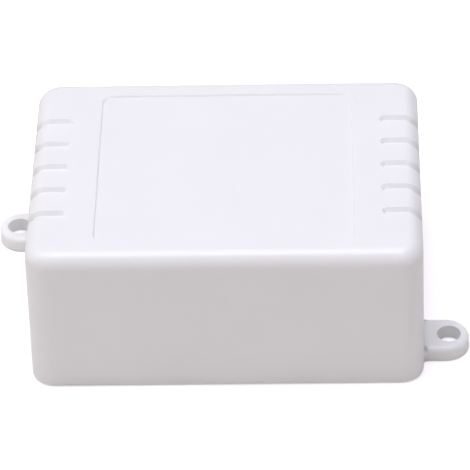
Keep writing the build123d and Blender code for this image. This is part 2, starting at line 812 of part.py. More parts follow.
# Start button: its plunger faces the small hole in the rear wall, and is pushed with a pin
button_face = rear_face - plunger_reach
button_middle = button_face - button_depth / 2
button_pins = [(button_x + side * button_width / 4, button_middle) for side in (-1, 1)]
with BuildPart() as button_body:
    with BuildSketch(Plane.XY.offset(board_top)):
        with Locations((button_x, button_middle)):
            Rectangle(button_width, button_depth)
    extrude(amount=button_height)
    with BuildSketch(Plane.XZ.offset(-button_face)):
        with Locations((button_x, rear_axis_z)):
            Circle(plunger_radius + plunger_fit)
    extrude(amount=plunger_inside + button_travel + button_back_gap, mode=Mode.SUBTRACT)
save(button_body, "button_body")

with BuildPart() as button_plunger:
    with BuildSketch(Plane.XZ.offset(-rear_face)):
        with Locations((button_x, rear_axis_z)):
            Circle(plunger_radius)
    extrude(amount=plunger_reach + plunger_inside)
save(button_plunger, "button_plunger")

with BuildPart() as button_leads:
    add(make_leads(button_pins, board_top, can_lead, can_lead))
save(button_leads, "button_leads")

# Range header: a row of square pins, two of them bridged by a cap that pulls off
header_rows = [header_y + (pin - (header_pins - 1) / 2) * header_pitch for pin in range(header_pins)]
header_points = [(header_x, row) for row in header_rows]
header_top = board_top + header_height
jumper_y = header_y + (header_pins - jumper_pins) * header_pitch / 2
with BuildPart() as range_header:
    with BuildSketch(Plane.XY.offset(board_top)):
        with Locations((header_x, header_y)):
            Rectangle(header_pitch, header_pins * header_pitch)
        with Locations(*header_points):
            Rectangle(header_pin, header_pin, mode=Mode.SUBTRACT)
    extrude(amount=header_height)
save(range_header, "range_header")

with BuildPart() as header_pin_set:
    add(make_leads(header_points, header_top + header_pin_length, header_pin, header_pin))
save(header_pin_set, "header_pins")

with BuildPart() as range_jumper:
    with BuildSketch(Plane.XY.offset(header_top + jumper_seat_gap)):
        with Locations((header_x, jumper_y)):
            Rectangle(header_pitch - 2 * jumper_side_gap, jumper_pins * header_pitch - 2 * jumper_side_gap)
    extrude(amount=header_pin_length + jumper_end_gap + jumper_roof)
    with BuildSketch(Plane.XY.offset(header_top + jumper_seat_gap)):
        with Locations(*header_points[header_pins - jumper_pins:]):
            Rectangle(header_pin + 2 * jumper_fit, header_pin + 2 * jumper_fit)
    extrude(amount=header_pin_length + jumper_end_gap, mode=Mode.SUBTRACT)
save(range_jumper, "range_jumper")

# Capacitors: sleeved cans with a rolled groove near the foot, standing on two leads
can_points = []
for name, x, y, radius, height in (
    ("filter_capacitor", filter_x, filter_y, filter_radius, filter_height),
    ("timing_capacitor", timing_x, timing_y, timing_radius, timing_height),
):
    points = [(x - radius / 2, y), (x + radius / 2, y)]
    can_points += points
    with BuildPart() as capacitor:
        with BuildSketch(Plane.XY.offset(board_top)):
            with Locations((x, y)):
                Circle(radius)
        extrude(amount=height)
        fillet(capacitor.edges().filter_by(GeomType.CIRCLE), can_rim)
        with BuildSketch(Plane.XY.offset(board_top + can_groove_height)):
            with Locations((x, y)):
                Circle(radius)
                Circle(radius - can_groove, mode=Mode.SUBTRACT)
        extrude(amount=2 * can_groove, mode=Mode.SUBTRACT)
        add(make_leads(points, board_top + can_rim, can_lead, can_lead))
    save(capacitor, name)

# Timer chip and trigger isolator: moulded bodies, each with two rows of legs
leg_points = []
for name, x, y, legs, length in (
    ("timer_chip", timer_x, timer_y, timer_legs, timer_length),
    ("trigger_isolator", isolator_x, isolator_y, isolator_legs, isolator_length),
):
    rows = [y + (leg - (legs / 2 - 1) / 2) * chip_leg_pitch for leg in range(legs // 2)]
    points = [(x + side * chip_leg_span / 2, row) for side in (-1, 1) for row in rows]
    leg_points += points
    shoulder = board_top + chip_lift + chip_height / 2
    with BuildPart() as chip:
        with BuildSketch(Plane.XY.offset(shoulder)):
            with Locations((x, y)):
                Rectangle(chip_width, length)
        extrude(amount=chip_height / 2, both=True, taper=5)
    save(chip, name)

    with BuildPart() as chip_legs:
        with BuildSketch(Plane.XY.offset(shoulder)):
            for row in rows:
                for side in (-1, 1):
                    with Locations((x + side * (chip_width / 2 + chip_leg_span / 2) / 2, row)):
                        Rectangle((chip_leg_span - chip_width) / 2 + chip_leg_thickness, chip_leg_width)
            with Locations((x, y)):
                Rectangle(chip_width, length, mode=Mode.SUBTRACT)
        extrude(amount=-chip_leg_thickness)
        with BuildSketch(Plane.XY.offset(shoulder)):
            with Locations(*points):
                Rectangle(chip_leg_thickness, chip_leg_width)
        extrude(amount=-(shoulder - board_top))
        add(make_leads(points, board_top, chip_leg_thickness, chip_leg_width / 2))
    save(chip_legs, f"{name}_legs")

# Flyback diode: a round body along X on two bent wires
diode_z = board_top + diode_radius
diode_points = [(diode_x + side * diode_lead_span / 2, diode_y) for side in (-1, 1)]
with BuildPart() as flyback_diode:
    with BuildSketch(Plane.YZ.offset(diode_x)):
        with Locations((diode_y, diode_z)):
            Circle(diode_radius)
    extrude(amount=diode_length / 2, both=True)
    with BuildSketch(Plane.YZ.offset(diode_x)):
        with Locations((diode_y, diode_z)):
            Circle(diode_lead_radius)
    extrude(amount=diode_reach, both=True)
    with BuildSketch(Plane.XY.offset(diode_z)):
        with Locations(*diode_points):
            Circle(diode_lead_radius)
    extrude(amount=-(diode_z - board_top + lead_length))
save(flyback_diode, "flyback_diode")

# Transistor and regulator: half-round bodies held above the board on three leads
small_can_points = []
for name, x, y in (
    ("driver_transistor", transistor_x, transistor_y),
    ("supply_regulator", regulator_x, regulator_y),
):
    points = [(x + step * small_lead_pitch, y) for step in (-1, 0, 1)]
    small_can_points += points
    with BuildPart() as small_can:
        with BuildSketch(Plane.XY.offset(board_top + small_can_lift)):
            with Locations((x, y)):
                Circle(small_can_radius)
            with Locations((x, y - small_can_flat - small_can_radius / 2)):
                Rectangle(2 * small_can_radius, small_can_radius, mode=Mode.SUBTRACT)
        extrude(amount=small_can_height)
        add(make_leads(points, board_top + small_can_lift, small_lead, small_lead))
    save(small_can, name)

# Chip resistors, soldered flat
with BuildPart() as chip_resistors:
    with BuildSketch(Plane.XY.offset(board_top)):
        with Locations((resistor_x, resistor_y)):
            across = resistor_length + resistor_gap
            along = resistor_width + resistor_gap
            with GridLocations(across, along, resistor_columns, resistor_rows):
                Rectangle(resistor_length, resistor_width)
    extrude(amount=resistor_height)
save(chip_resistors, "chip_resistors")

# Circuit board: notched round the corner bosses, drilled for its screws and every lead
drillings = [
    (contact_points, contact_pin_width, contact_thickness),
    (coil_pins + common_pin, relay_pin_width, relay_pin_thickness),
    (contact_pins, relay_pin_width, contact_strip),
    (trimmer_pins + button_pins + can_points, can_lead, can_lead),
    (lamp_points, lamp_lead, lamp_lead),
    (header_points, header_pin, header_pin),
    (leg_points, chip_leg_width / 2, chip_leg_thickness),
    (diode_points, 2 * diode_lead_radius, 0),
    (small_can_points, small_lead, small_lead),
]
with BuildPart() as circuit_board:
    with BuildSketch(Plane.XY.offset(board_bottom)):
        Rectangle(board_width, 2 * notch_y)
        Rectangle(2 * notch_x, board_depth)
        with GridLocations(2 * board_hole_x, 2 * board_hole_y, 2, 2):
            Circle(board_screw_radius + screw_hole_clearance, mode=Mode.SUBTRACT)
        for points, lead_width, lead_thickness in drillings:
            with Locations(*points):
                Circle(hypot(lead_width, lead_thickness) / 2 + lead_hole_gap, mode=Mode.SUBTRACT)
    extrude(amount=board_thickness)
save(circuit_board, "circuit_board")
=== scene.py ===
from math import cos, degrees, pi, radians, sin, tan

import bmesh
import bpy
from mathutils import Matrix, Vector


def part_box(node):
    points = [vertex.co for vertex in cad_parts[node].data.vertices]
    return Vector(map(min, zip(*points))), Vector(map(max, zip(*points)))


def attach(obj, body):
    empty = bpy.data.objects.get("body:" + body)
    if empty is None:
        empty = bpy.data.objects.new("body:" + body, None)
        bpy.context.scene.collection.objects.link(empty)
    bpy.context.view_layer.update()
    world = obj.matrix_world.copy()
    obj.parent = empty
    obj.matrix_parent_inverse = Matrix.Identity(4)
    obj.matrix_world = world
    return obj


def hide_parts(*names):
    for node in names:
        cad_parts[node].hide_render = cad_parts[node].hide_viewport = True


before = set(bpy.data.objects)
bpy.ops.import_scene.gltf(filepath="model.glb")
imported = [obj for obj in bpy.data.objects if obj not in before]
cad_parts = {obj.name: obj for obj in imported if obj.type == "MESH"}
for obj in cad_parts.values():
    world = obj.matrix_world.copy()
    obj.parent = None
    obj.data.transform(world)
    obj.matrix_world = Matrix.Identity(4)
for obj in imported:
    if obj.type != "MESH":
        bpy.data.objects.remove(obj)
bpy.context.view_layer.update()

MM = 0.001


# The view: the camera stands where the photograph was taken from, in front, a little to the
# right and about 40 degrees above, far off with a long lens.
aim = Vector((1.3, -0.72, 13.86)) * MM
camera_distance = 614.4 * MM
camera_pitch, camera_yaw, camera_roll = 40.412, 2.196, -2.058
photo_width_px = 470
focal_length_px = 3396.5

camera_data = bpy.data.cameras.new("photo_camera")
camera_data.sensor_width = 36.0
camera_data.lens = camera_data.sensor_width * focal_length_px / photo_width_px
camera = bpy.data.objects.new("photo_camera", camera_data)
bpy.context.scene.collection.objects.link(camera)
turn = (
    Matrix.Rotation(radians(camera_yaw), 4, "Z")
    @ Matrix.Rotation(radians(90 - camera_pitch), 4, "X")
    @ Matrix.Rotation(radians(camera_roll), 4, "Z")
)
camera.matrix_world = Matrix.Translation(aim) @ turn @ Matrix.Translation((0, 0, camera_distance))
bpy.context.scene.camera = camera
bpy.context.scene.view_settings.view_transform = "Standard"


# The studio: a pale sweep of card in a white room. The room is a little brighter on the left and
# slightly warm, as paint is. The camera sees it and the card as plain white.
room_left, room_right = 0.48, 0.26
card_size = 4.0
card_drop = 0.15 * MM
card_glow = 0.4
soft_box_size = 0.50


def linear(colour):
    """An sRGB hex colour as the linear colour that a shader takes."""
    parts = [int(colour[i:i + 2], 16) / 255 for i in (0, 2, 4)]
    return [c / 12.92 if c <= 0.04045 else ((c + 0.055) / 1.055) ** 2.4 for c in parts] + [1]


def feed(tree, node, inputs):
    """Gives each input a value, or a link from a socket or from a node's first output in use."""
    for name, given in inputs.items():
        if isinstance(given, bpy.types.Node):
            given = next(output for output in given.outputs if output.enabled)
        if isinstance(given, bpy.types.NodeSocket):
            tree.links.new(given, node.inputs[name])
        else:
            node.inputs[name].default_value = given


def add_node(tree, kind, inputs=None, **settings):
    """Adds a node with its settings and its inputs."""
    made = tree.nodes.new("ShaderNode" + kind)
    for name, value in settings.items():
        setattr(made, name, value)
    feed(tree, made, inputs or {})
    return made


world = bpy.data.worlds.new("white_room")
bpy.context.scene.world = world
world.use_nodes = True
room = world.node_tree
room.nodes.clear()
direction = add_node(room, "TexCoord").outputs["Generated"]
side = add_node(room, "SeparateXYZ", {"Vector": direction}).outputs["X"]
strength = add_node(
    room, "MapRange",
    {"Value": side, "From Min": -1.0, "From Max": 1.0, "To Min": room_left, "To Max": room_right},
)
room_light = add_node(room, "Background", {"Color": linear("FFF2E2"), "Strength": strength})
backdrop = add_node(room, "Background", {"Color": linear("FFFFFF"), "Strength": 1.0})
ray = add_node(room, "LightPath").outputs
straight = add_node(
    room, "Math", {0: ray["Is Camera Ray"], 1: ray["Is Transmission Ray"]}, operation="MAXIMUM"
)
shown = add_node(room, "MixShader", {"Fac": straight, 1: room_light, 2: backdrop})
add_node(room, "OutputWorld", {"Surface": shown})

bpy.ops.object.select_all(action="DESELECT")
bpy.ops.mesh.primitive_plane_add(size=card_size, location=(0, 0, -card_drop))
card = bpy.context.object
card.name = "studio_card"
card_white = bpy.data.materials.new("white_card")
card_white.use_nodes = True
tree = card_white.node_tree
ray = add_node(tree, "LightPath").outputs
glow = add_node(tree, "Math", {0: ray["Is Camera Ray"], 1: card_glow}, operation="MULTIPLY")
feed(tree, tree.nodes["Principled BSDF"], {
    "Base Color": linear("F0EEEE"), "Roughness": 0.9, "Specular IOR Level": 0.1,
    "Emission Color": linear("FFFFFF"), "Emission Strength": glow,
})
card.data.materials.append(card_white)


def add_soft_box(name, place, power, colour):
    """A square area lamp that faces the object."""
    data = bpy.data.lights.new(name, "AREA")
    data.size = soft_box_size
    data.energy = power
    data.color = linear(colour)[:3]
    lamp = bpy.data.objects.new(name, data)
    lamp.location = place
    lamp.rotation_euler = (Vector((0, 0, 0)) - Vector(place)).to_track_quat("-Z", "Y").to_euler()
    bpy.context.scene.collection.objects.link(lamp)


add_soft_box("overhead_box", (0, 0, 0.85), 5.2, "E4EAFF")
add_soft_box("left_box", (-0.43, -0.05, 0.73), 1.0, "FFFFFF")


# The base plate: white ABS, injection moulded. It closes the underside and carries the board on
# four standoffs. Its sill fills the lower part of the wire window in the rear wall.
plate_low, plate_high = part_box("base_plate")
plate_thickness = 2.0 * MM
plate_corner = 1.7 * MM
sill_left, sill_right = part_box("input_terminal_body")[0].x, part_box("output_terminal_body")[1].x
sill_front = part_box("circuit_board")[1].y + 0.3 * MM
sill_foot_depth = 4.4 * MM
standoff_radius = 2.6 * MM
standoff_hole_radius = 1.1 * MM
standoff_hole_depth = 4.6 * MM
board_bottom, board_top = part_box("circuit_board")[0].z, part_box("circuit_board")[1].z
board_screw_head = 2.0 * MM
base_screw_head = 2.4 * MM
countersink_radius = 2.5 * MM
countersink_depth = 1.15 * MM
plate_hole_radius = 1.5 * MM
# Places nearer to each other than this are one place.
hair = 1e-6


def add_block(name, low, high):
    """A block between two corners, alone in the selection, with its place in its mesh."""
    low, high = Vector(low), Vector(high)
    bpy.ops.object.select_all(action="DESELECT")
    bpy.ops.mesh.primitive_cube_add(size=1, location=(low + high) / 2, scale=high - low)
    bpy.ops.object.transform_apply()
    block = bpy.context.object
    block.name = name
    return block


def add_turned(name, centre, profile, along="Z", sides=48):
    """A round solid: a disc that is extruded and resized from each point of its profile to the
    next. A point is how far along the axis it lies, and its radius."""
    place, radius = profile[0]
    bpy.ops.object.select_all(action="DESELECT")
    bpy.ops.mesh.primitive_circle_add(
        vertices=sides, radius=radius, fill_type="NGON", location=(0, 0, place), rotation=(pi, 0, 0)
    )
    bpy.ops.object.transform_apply()
    turned = bpy.context.object
    turned.name = name
    bpy.ops.object.mode_set(mode="EDIT")
    bpy.ops.mesh.select_all(action="SELECT")
    for next_place, next_radius in profile[1:]:
        bpy.ops.mesh.extrude_region_move(TRANSFORM_OT_translate={"value": (0, 0, next_place - place)})
        ratio = next_radius / radius
        bpy.ops.transform.resize(value=(ratio, ratio, 1), center_override=(0, 0, next_place))
        place, radius = next_place, next_radius
    bpy.ops.mesh.select_all(action="SELECT")
    bpy.ops.mesh.normals_make_consistent(inside=False)
    bpy.ops.object.mode_set(mode="OBJECT")
    lying = {"X": Matrix.Rotation(pi / 2, 4, "Y"), "Y": Matrix.Rotation(-pi / 2, 4, "X"), "Z": Matrix()}
    turned.data.transform(Matrix.Translation(centre) @ lying[along])
    return turned


def add_rod(name, centre, radius, start, end, along="Z", sides=48):
    """A plain round bar, from a start to an end along its axis."""
    return add_turned(name, centre, [(start, radius), (end, radius)], along, sides)


def pick(piece, kind, wanted):
    """Selects, in edit mode, the faces or edges for which wanted is true."""
    bpy.context.view_layer.objects.active = piece
    if bpy.context.mode != "EDIT_MESH":
        bpy.ops.object.mode_set(mode="EDIT")
    bpy.ops.mesh.select_mode(type={"faces": "FACE", "edges": "EDGE"}[kind])
    bpy.ops.mesh.select_all(action="DESELECT")
    mesh = bmesh.from_edit_mesh(piece.data)
    mesh.normal_update()
    for item in getattr(mesh, kind):
        item.select_set(wanted(item))
    bmesh.update_edit_mesh(piece.data)


def middle(edge):
    return (edge.verts[0].co + edge.verts[1].co) / 2


def runs_along(edge, axis, straightness=0.99):
    span = (edge.verts[1].co - edge.verts[0].co).normalized()
    return abs(span[axis]) > straightness


def round_edges(piece, wanted, radius, segments):
    """Bevels the edges for which wanted is true."""
    pick(piece, "edges", wanted)
    bpy.ops.mesh.bevel(offset=radius, segments=segments, affect="EDGES")
    bpy.ops.object.mode_set(mode="OBJECT")


def combine(piece, operation, others):
    """Joins others to a piece, or cuts them from it, one by one, and deletes them."""
    for other in others:
        change = piece.modifiers.new(operation, "BOOLEAN")
        change.operation = operation
        change.object = other
        change.solver = "MANIFOLD"
        bpy.context.view_layer.objects.active = piece
        bpy.ops.object.modifier_apply(modifier=change.name)
        bpy.data.objects.remove(other)


def cut(piece, *tools):
    combine(piece, "DIFFERENCE", tools)


def fuse(piece, *others):
    combine(piece, "UNION", others)


def join(pieces, name):
    """Makes several pieces one object."""
    bpy.ops.object.select_all(action="DESELECT")
    for piece in pieces:
        piece.select_set(True)
    bpy.context.view_layer.objects.active = pieces[0]
    if len(pieces) > 1:
        bpy.ops.object.join()
    pieces[0].name = name
    return pieces[0]


def copy_to(piece, name, step):
    """A copy of a piece, with its own mesh, moved by a step."""
    made = piece.copy()
    made.data = piece.data.copy()
    made.data.transform(Matrix.Translation(step))
    made.name = name
    bpy.context.scene.collection.objects.link(made)
    return made


def soften(piece, width, sharp=32, smooth=40, segments=2):
    """Rounds each edge that is sharper than an angle, as a mould or a die leaves it, and smooths
    the shading."""
    bpy.context.view_layer.objects.active = piece
    bpy.ops.object.mode_set(mode="EDIT")
    bpy.ops.mesh.select_all(action="SELECT")
    bpy.ops.mesh.remove_doubles(threshold=hair)
    bpy.ops.mesh.dissolve_degenerate(threshold=hair)
    bpy.ops.mesh.normals_make_consistent(inside=False)
    bpy.ops.object.mode_set(mode="OBJECT")
    edge = piece.modifiers.new("edge", "BEVEL")
    edge.width = width
    edge.segments = segments
    edge.limit_method = "ANGLE"
    edge.angle_limit = radians(sharp)
    edge.harden_normals = False
    bpy.ops.object.modifier_apply(modifier=edge.name)
    bpy.ops.object.select_all(action="DESELECT")
    piece.select_set(True)
    bpy.ops.object.shade_smooth_by_angle(angle=radians(smooth))
    weight = piece.modifiers.new("weight", "WEIGHTED_NORMAL")
    weight.keep_sharp = True
    bpy.ops.object.modifier_apply(modifier=weight.name)


def centre_of(node, **known):
    """The middle of a node's box, with the coordinates that are known put in."""
    centre = Vector([(low + high) / 2 for low, high in zip(*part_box(node))])
    for axis, value in known.items():
        setattr(centre, axis, value)
    return centre


def fastener_places(node, head_radius):
    """The axes of four like screws, from the corners of their node's box."""
    low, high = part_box(node)
    across = (low.x + head_radius, high.x - head_radius)
    along = (low.y + head_radius, high.y - head_radius)
    return [Vector((x, y, 0)) for x in across for y in along]


def start_material(name, **sockets):
    """A material with its shader set, and the Object coordinates that its patterns read."""
    material = bpy.data.materials.new(name)
    material.use_nodes = True
    tree = material.node_tree
    shader = tree.nodes["Principled BSDF"]
    feed(tree, shader, {socket.replace("_", " "): value for socket, value in sockets.items()})
    return material, tree, shader, add_node(tree, "TexCoord").outputs["Object"]


def add_material(name, patch, colours, gloss, grain=None, squeeze=None, **sockets):
    """A material whose colour and gloss change slowly between two values, in patches about this
    wide. The grain of its surface has a width and a depth. A squeeze makes the patches narrower
    along some axes."""
    material, tree, shader, place = start_material(name, **sockets)
    if squeeze:
        place = add_node(tree, "Mapping", {"Vector": place, "Scale": squeeze})
    patches = add_node(tree, "TexNoise", {"Vector": place, "Scale": 1 / patch, "Detail": 2.0})
    low, high = [linear(colour) for colour in colours]
    tint = add_node(tree, "Mix", {"Factor": patches, "A": low, "B": high}, data_type="RGBA")
    low, high = gloss
    sheen = add_node(tree, "MapRange", {"Value": patches, "To Min": low, "To Max": high})
    feed(tree, shader, {"Base Color": tint, "Roughness": sheen})
    if grain:
        width, depth = grain
        sand = add_node(tree, "TexNoise", {"Vector": place, "Scale": 1 / width, "Detail": 3.0})
        feed(tree, shader, {"Normal": add_node(tree, "Bump", {"Height": sand, "Distance": depth})})
    return material


def enlist(piece, body, slot, *nodes):
    """Says which body a piece moves with, and hides the nodes that it stands for. Its slot is not used.
    """
    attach(piece, body)
    if nodes:
        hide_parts(*nodes)


def lay_on(piece, material):
    """Makes a material the only one on a piece."""
    piece.data.materials.clear()
    piece.data.materials.append(material)
    return piece


def dress(piece, material, body, slot, *nodes):
    """Gives a finished piece its one material, and enlists it."""
    enlist(lay_on(piece, material), body, slot, *nodes)


plate = add_block("base_plate_moulding", plate_low, (plate_high.x, -plate_low.y, plate_thickness))
round_edges(plate, lambda edge: runs_along(edge, 2), plate_corner, 8)
foot_front = sill_front - sill_foot_depth
fuse(
    plate,
    add_block("sill_foot", (sill_left, foot_front, 0), (sill_right, plate_high.y, plate_thickness)),
    add_block("sill", (sill_left, sill_front, 0), (sill_right, plate_high.y, plate_high.z)),
)
for place in fastener_places("board_screws", board_screw_head):
    fuse(plate, add_rod("standoff", place, standoff_radius, plate_thickness / 2, board_bottom))
    hole_floor = board_bottom - standoff_hole_depth
    cut(plate, add_rod("standoff_hole", place, standoff_hole_radius, hole_floor, board_top))
for place in fastener_places("base_screws", base_screw_head):
    sunk = [
        (-countersink_depth, 2 * countersink_radius - plate_hole_radius), (0, countersink_radius),
        (countersink_depth, plate_hole_radius), (2 * plate_thickness, plate_hole_radius),
    ]
    cut(plate, add_turned("countersink", place, sunk))
soften(plate, 0.15 * MM)

# White moulded ABS: an even off-white with a dull sheen, from a spark-eroded mould. Light goes
# about a millimetre into it, which softens its edges. Its grain is about 0.05 mm wide and is drawn
# at 0.25 mm, so that it shows.
abs_white = add_material(
    "white_moulded_abs", 14 * MM, ("F0F0F0", "F4F4F4"), (0.33, 0.40), (0.25 * MM, 0.004 * MM), IOR=1.5,
    Subsurface_Weight=0.6, Subsurface_Radius=(1.0, 0.95, 0.9), Subsurface_Scale=1.0 * MM,
)
dress(plate, abs_white, "base", "housing_plastic", "base_plate")


# The circuit board: glass-epoxy laminate with green solder mask over etched copper, routed to shape
# and drilled. Its edges show the bare laminate. Thin white ink outlines mark where parts go.
print_gap = 0.45 * MM
print_line = 0.18 * MM
print_height = 0.02 * MM
trace_pitch = 1.27 * MM
trace_run = 11.0 * MM
trace_rise = 0.02 * MM
trace_start, trace_full = 0.17, 0.22
glass_weave = 0.6 * MM

# Green solder mask: a glossy ink, paler and a little higher where it lies over copper runs. At the
# board's edges the straw colour of the laminate shows.
mask_green, tree, shader, place = start_material("green_solder_mask", Roughness=0.22, IOR=1.52)
normal = add_node(tree, "NewGeometry").outputs["Normal"]
upwards = add_node(tree, "SeparateXYZ", {"Vector": normal}).outputs["Z"]
level = add_node(tree, "Math", {0: upwards}, operation="ABSOLUTE")
is_face = add_node(tree, "Math", {0: level, 1: 0.5}, operation="GREATER_THAN")
region = add_node(
    tree, "TexVoronoi", {"Vector": place, "Scale": 1 / trace_run}, distance="MANHATTAN"
)
draw = add_node(tree, "SeparateColor", {"Color": region.outputs["Color"]}).outputs["Red"]
lengthways = add_node(tree, "Math", {0: draw, 1: 0.5}, operation="GREATER_THAN")
across = add_node(tree, "SeparateXYZ", {"Vector": place}).outputs
along = add_node(tree, "Mix", {"Factor": lengthways, "A": across["X"], "B": across["Y"]})
count = add_node(tree, "Math", {0: along, 1: trace_pitch}, operation="DIVIDE")
within = add_node(tree, "Math", {0: count, 1: 0.5}, operation="PINGPONG")
on_trace = add_node(
    tree, "MapRange", {"Value": within, "From Min": trace_start, "From Max": trace_full},
    interpolation_type="SMOOTHSTEP",
)
dark, light = linear("0E5E2E"), linear("178045")
laid = add_node(tree, "Mix", {"Factor": on_trace, "A": dark, "B": light}, data_type="RGBA")
weave = add_node(tree, "TexNoise", {"Vector": place, "Scale": 1 / glass_weave, "Detail": 2.0})
dark, light = linear("A59A63"), linear("C9BF8B")
laminate = add_node(tree, "Mix", {"Factor": weave, "A": dark, "B": light}, data_type="RGBA")
seen = add_node(tree, "Mix", {"Factor": is_face, "A": laminate, "B": laid}, data_type="RGBA")
raised = add_node(tree, "Bump", {"Height": on_trace, "Distance": trace_rise})
feed(tree, shader, {"Base Color": seen, "Normal": raised})


def coat(material, *names):
    """Gives a material to CAD nodes whose shape stays."""
    for name in names:
        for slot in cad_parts[name].material_slots:
            slot.material = material


coat(mask_green, "circuit_board")

outlines = []
for node in (
    "relay_case", "timer_chip", "trigger_isolator", "trimmer_body", "button_body", "range_header",
    "input_terminal_body", "output_terminal_body", "driver_transistor", "supply_regulator",
):
    low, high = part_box(node)
    low, high = Vector((low.x, low.y, board_top)), Vector((high.x, high.y, board_top + print_height))
    gap, line = Vector((print_gap, print_gap, 0)), Vector((print_line, print_line, -print_height))
    border = add_block("outline", low - gap, high + gap)
    cut(border, add_block("inner", low - gap + line, high + gap - line))
    outlines.append(border)
for node in ("filter_capacitor", "timing_capacitor"):
    low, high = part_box(node)
    reach = (high.x - low.x) / 2 + print_gap
    foot = centre_of(node, z=0)
    ring = add_rod("ring", foot, reach, board_top, board_top + print_height, sides=64)
    cut(ring, add_rod("inner", foot, reach - print_line, board_bottom, 2 * board_top, sides=64))
    outlines.append(ring)
# White epoxy ink, screen printed: flat, with a rough thin edge.
ink_white = add_material("white_board_ink", 0.8 * MM, ("DADCD2", "F2F3EC"), (0.5, 0.65))
dress(join(outlines, "board_print"), ink_white, "base", "board_laminate")


# The board screws: four small pan-head screws of zinc-plated steel with a cross recess. They are
# cold headed, and go through the board into the standoffs.
board_screw_shank = 1.1 * MM
board_screw_length = 6.0 * MM
board_screw_rise = 1.3 * MM
recess_depth = 0.6 * MM
recess_half_width = 0.25 * MM
recess_share = 0.6


def cut_cross(piece, place, bottom, top, reach, half_width):
    """Cuts two crossed slots, between two heights, about a place."""
    for wide, deep in ((reach, half_width), (half_width, reach)):
        low, high = Vector((-wide, -deep, bottom)), Vector((wide, deep, top))
        cut(piece, add_block("cross", place + low, place + high))


def place_four(screw, node, places):
    """Copies a screw to its other three places, as one piece that stands for its node."""
    copies = [copy_to(screw, node, place - places[0]) for place in places[1:]]
    dress(join([screw] + copies, f"{node}_set"), zinc_steel, "base", "screw_steel", node)


# Zinc-plated steel: bright grey with a faint warm passivation and tiny scratches.
zinc_steel = add_material(
    "zinc_plated_steel", 1.5 * MM, ("BDBDB8", "D6D3C8"), (0.22, 0.42), (0.12 * MM, 0.003 * MM),
    Metallic=1.0,
)
screw_places = fastener_places("board_screws", board_screw_head)
tip = board_top - board_screw_length
pan_head = [
    (tip, 0.3 * board_screw_shank), (tip + board_screw_shank, board_screw_shank),
    (board_top, board_screw_shank), (board_top, board_screw_head),
    (board_top + 0.5 * board_screw_rise, board_screw_head),
    (board_top + 0.82 * board_screw_rise, 0.88 * board_screw_head),
    (board_top + board_screw_rise, 0.6 * board_screw_head),
]
board_screw = add_turned("board_screw", screw_places[0], pan_head, sides=32)
head_top = board_top + board_screw_rise
recess_floor, recess_reach = head_top - recess_depth, recess_share * board_screw_head
cut_cross(
    board_screw, screw_places[0], recess_floor, head_top + MM, recess_reach, recess_half_width
)
soften(board_screw, 0.08 * MM)
place_four(board_screw, "board_screws", screw_places)


# Solder: each lead that comes through the board has a cone of tin solder below and a thin ring of
# it above, drawn up as it was when the board passed over the wave.
joint_radius, close_joint_radius = 0.95 * MM, 0.58 * MM
joint_steps = ((1.0, 0), (0.72, 0.12 * MM), (0.45, 0.45 * MM), (0.36, 0.9 * MM))
ring_height, ring_top_share = 0.03 * MM, 0.92
lead_spread = 0.6 * MM
close_leads = ("lamp_leads", "driver_transistor", "supply_regulator")
lead_nodes = close_leads + (
    "input_contacts", "output_contacts", "relay_yoke", "relay_coil_pins", "open_contact",
    "closed_contact", "trimmer_leads", "button_leads", "header_pins", "filter_capacitor",
    "timing_capacitor", "timer_chip_legs", "trigger_isolator_legs", "flyback_diode",
)


def lead_ends(node):
    """The middle of each of a node's leads, from the faces at their lower ends."""
    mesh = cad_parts[node].data
    lowest = min(vertex.co.z for vertex in mesh.vertices)
    groups = []
    for face in [face for face in mesh.polygons if face.center.z <= lowest + hair]:
        near = [group for group in groups if (group[0].center - face.center).length < lead_spread]
        if near:
            near[0].append(face)
        else:
            groups.append([face])
    return [
        sum((face.center * face.area for face in group), Vector()) / sum(face.area for face in group)
        for group in groups
    ]


drops = []
for node in lead_nodes:
    radius = close_joint_radius if node in close_leads else joint_radius
    below = [(board_bottom - fall, share * radius) for share, fall in reversed(joint_steps)]
    above = [(board_top, radius), (board_top + ring_height, ring_top_share * radius)]
    ends = [Vector((end.x, end.y, 0)) for end in lead_ends(node)]
    cone, ring = [add_turned("solder", ends[0], profile, sides=16) for profile in (below, above)]
    drop = join([cone, ring], "drop")
    drops += [drop] + [copy_to(drop, "drop", end - ends[0]) for end in ends[1:]]
solder = join(drops, "solder_joints")
bpy.ops.object.shade_smooth_by_angle(angle=radians(50))
# Tin solder: a bright, slightly uneven metal, wet on the lead and frosted at its foot.
solder_tin = add_material(
    "tin_solder", 0.5 * MM, ("B4B6B8", "D2D2D0"), (0.18, 0.4), (0.2 * MM, 0.01 * MM), Metallic=1.0
)
dress(solder, solder_tin, "base", "tinned_metal")


# The relay: a blue moulded cover over its base, glued shut. Inside are a coil on a nylon bobbin, an
# iron core, yoke and armature, and copper-alloy contacts. The parts under the cover keep their shapes.
relay_low, relay_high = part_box("relay_case")
relay_wall = 0.8 * MM
relay_corner = 0.55 * MM
vent_radius, vent_depth, vent_inset = 0.6 * MM, 0.3 * MM, 2.2 * MM

cover = add_block("relay_cover", relay_low, relay_high)
round_edges(
    cover, lambda edge: runs_along(edge, 2) or middle(edge).z > relay_high.z - hair, relay_corner, 4
)
hollow_low = relay_low + Vector((relay_wall, relay_wall, -relay_wall))
hollow_high = relay_high - Vector((relay_wall, relay_wall, relay_wall))
vent = relay_high - Vector((vent_inset, vent_inset, 0))
cut(
    cover, add_block("hollow", hollow_low, hollow_high),
    add_rod("vent", vent, vent_radius, -vent_depth, vent_depth, sides=24),
)
soften(cover, 0.1 * MM)
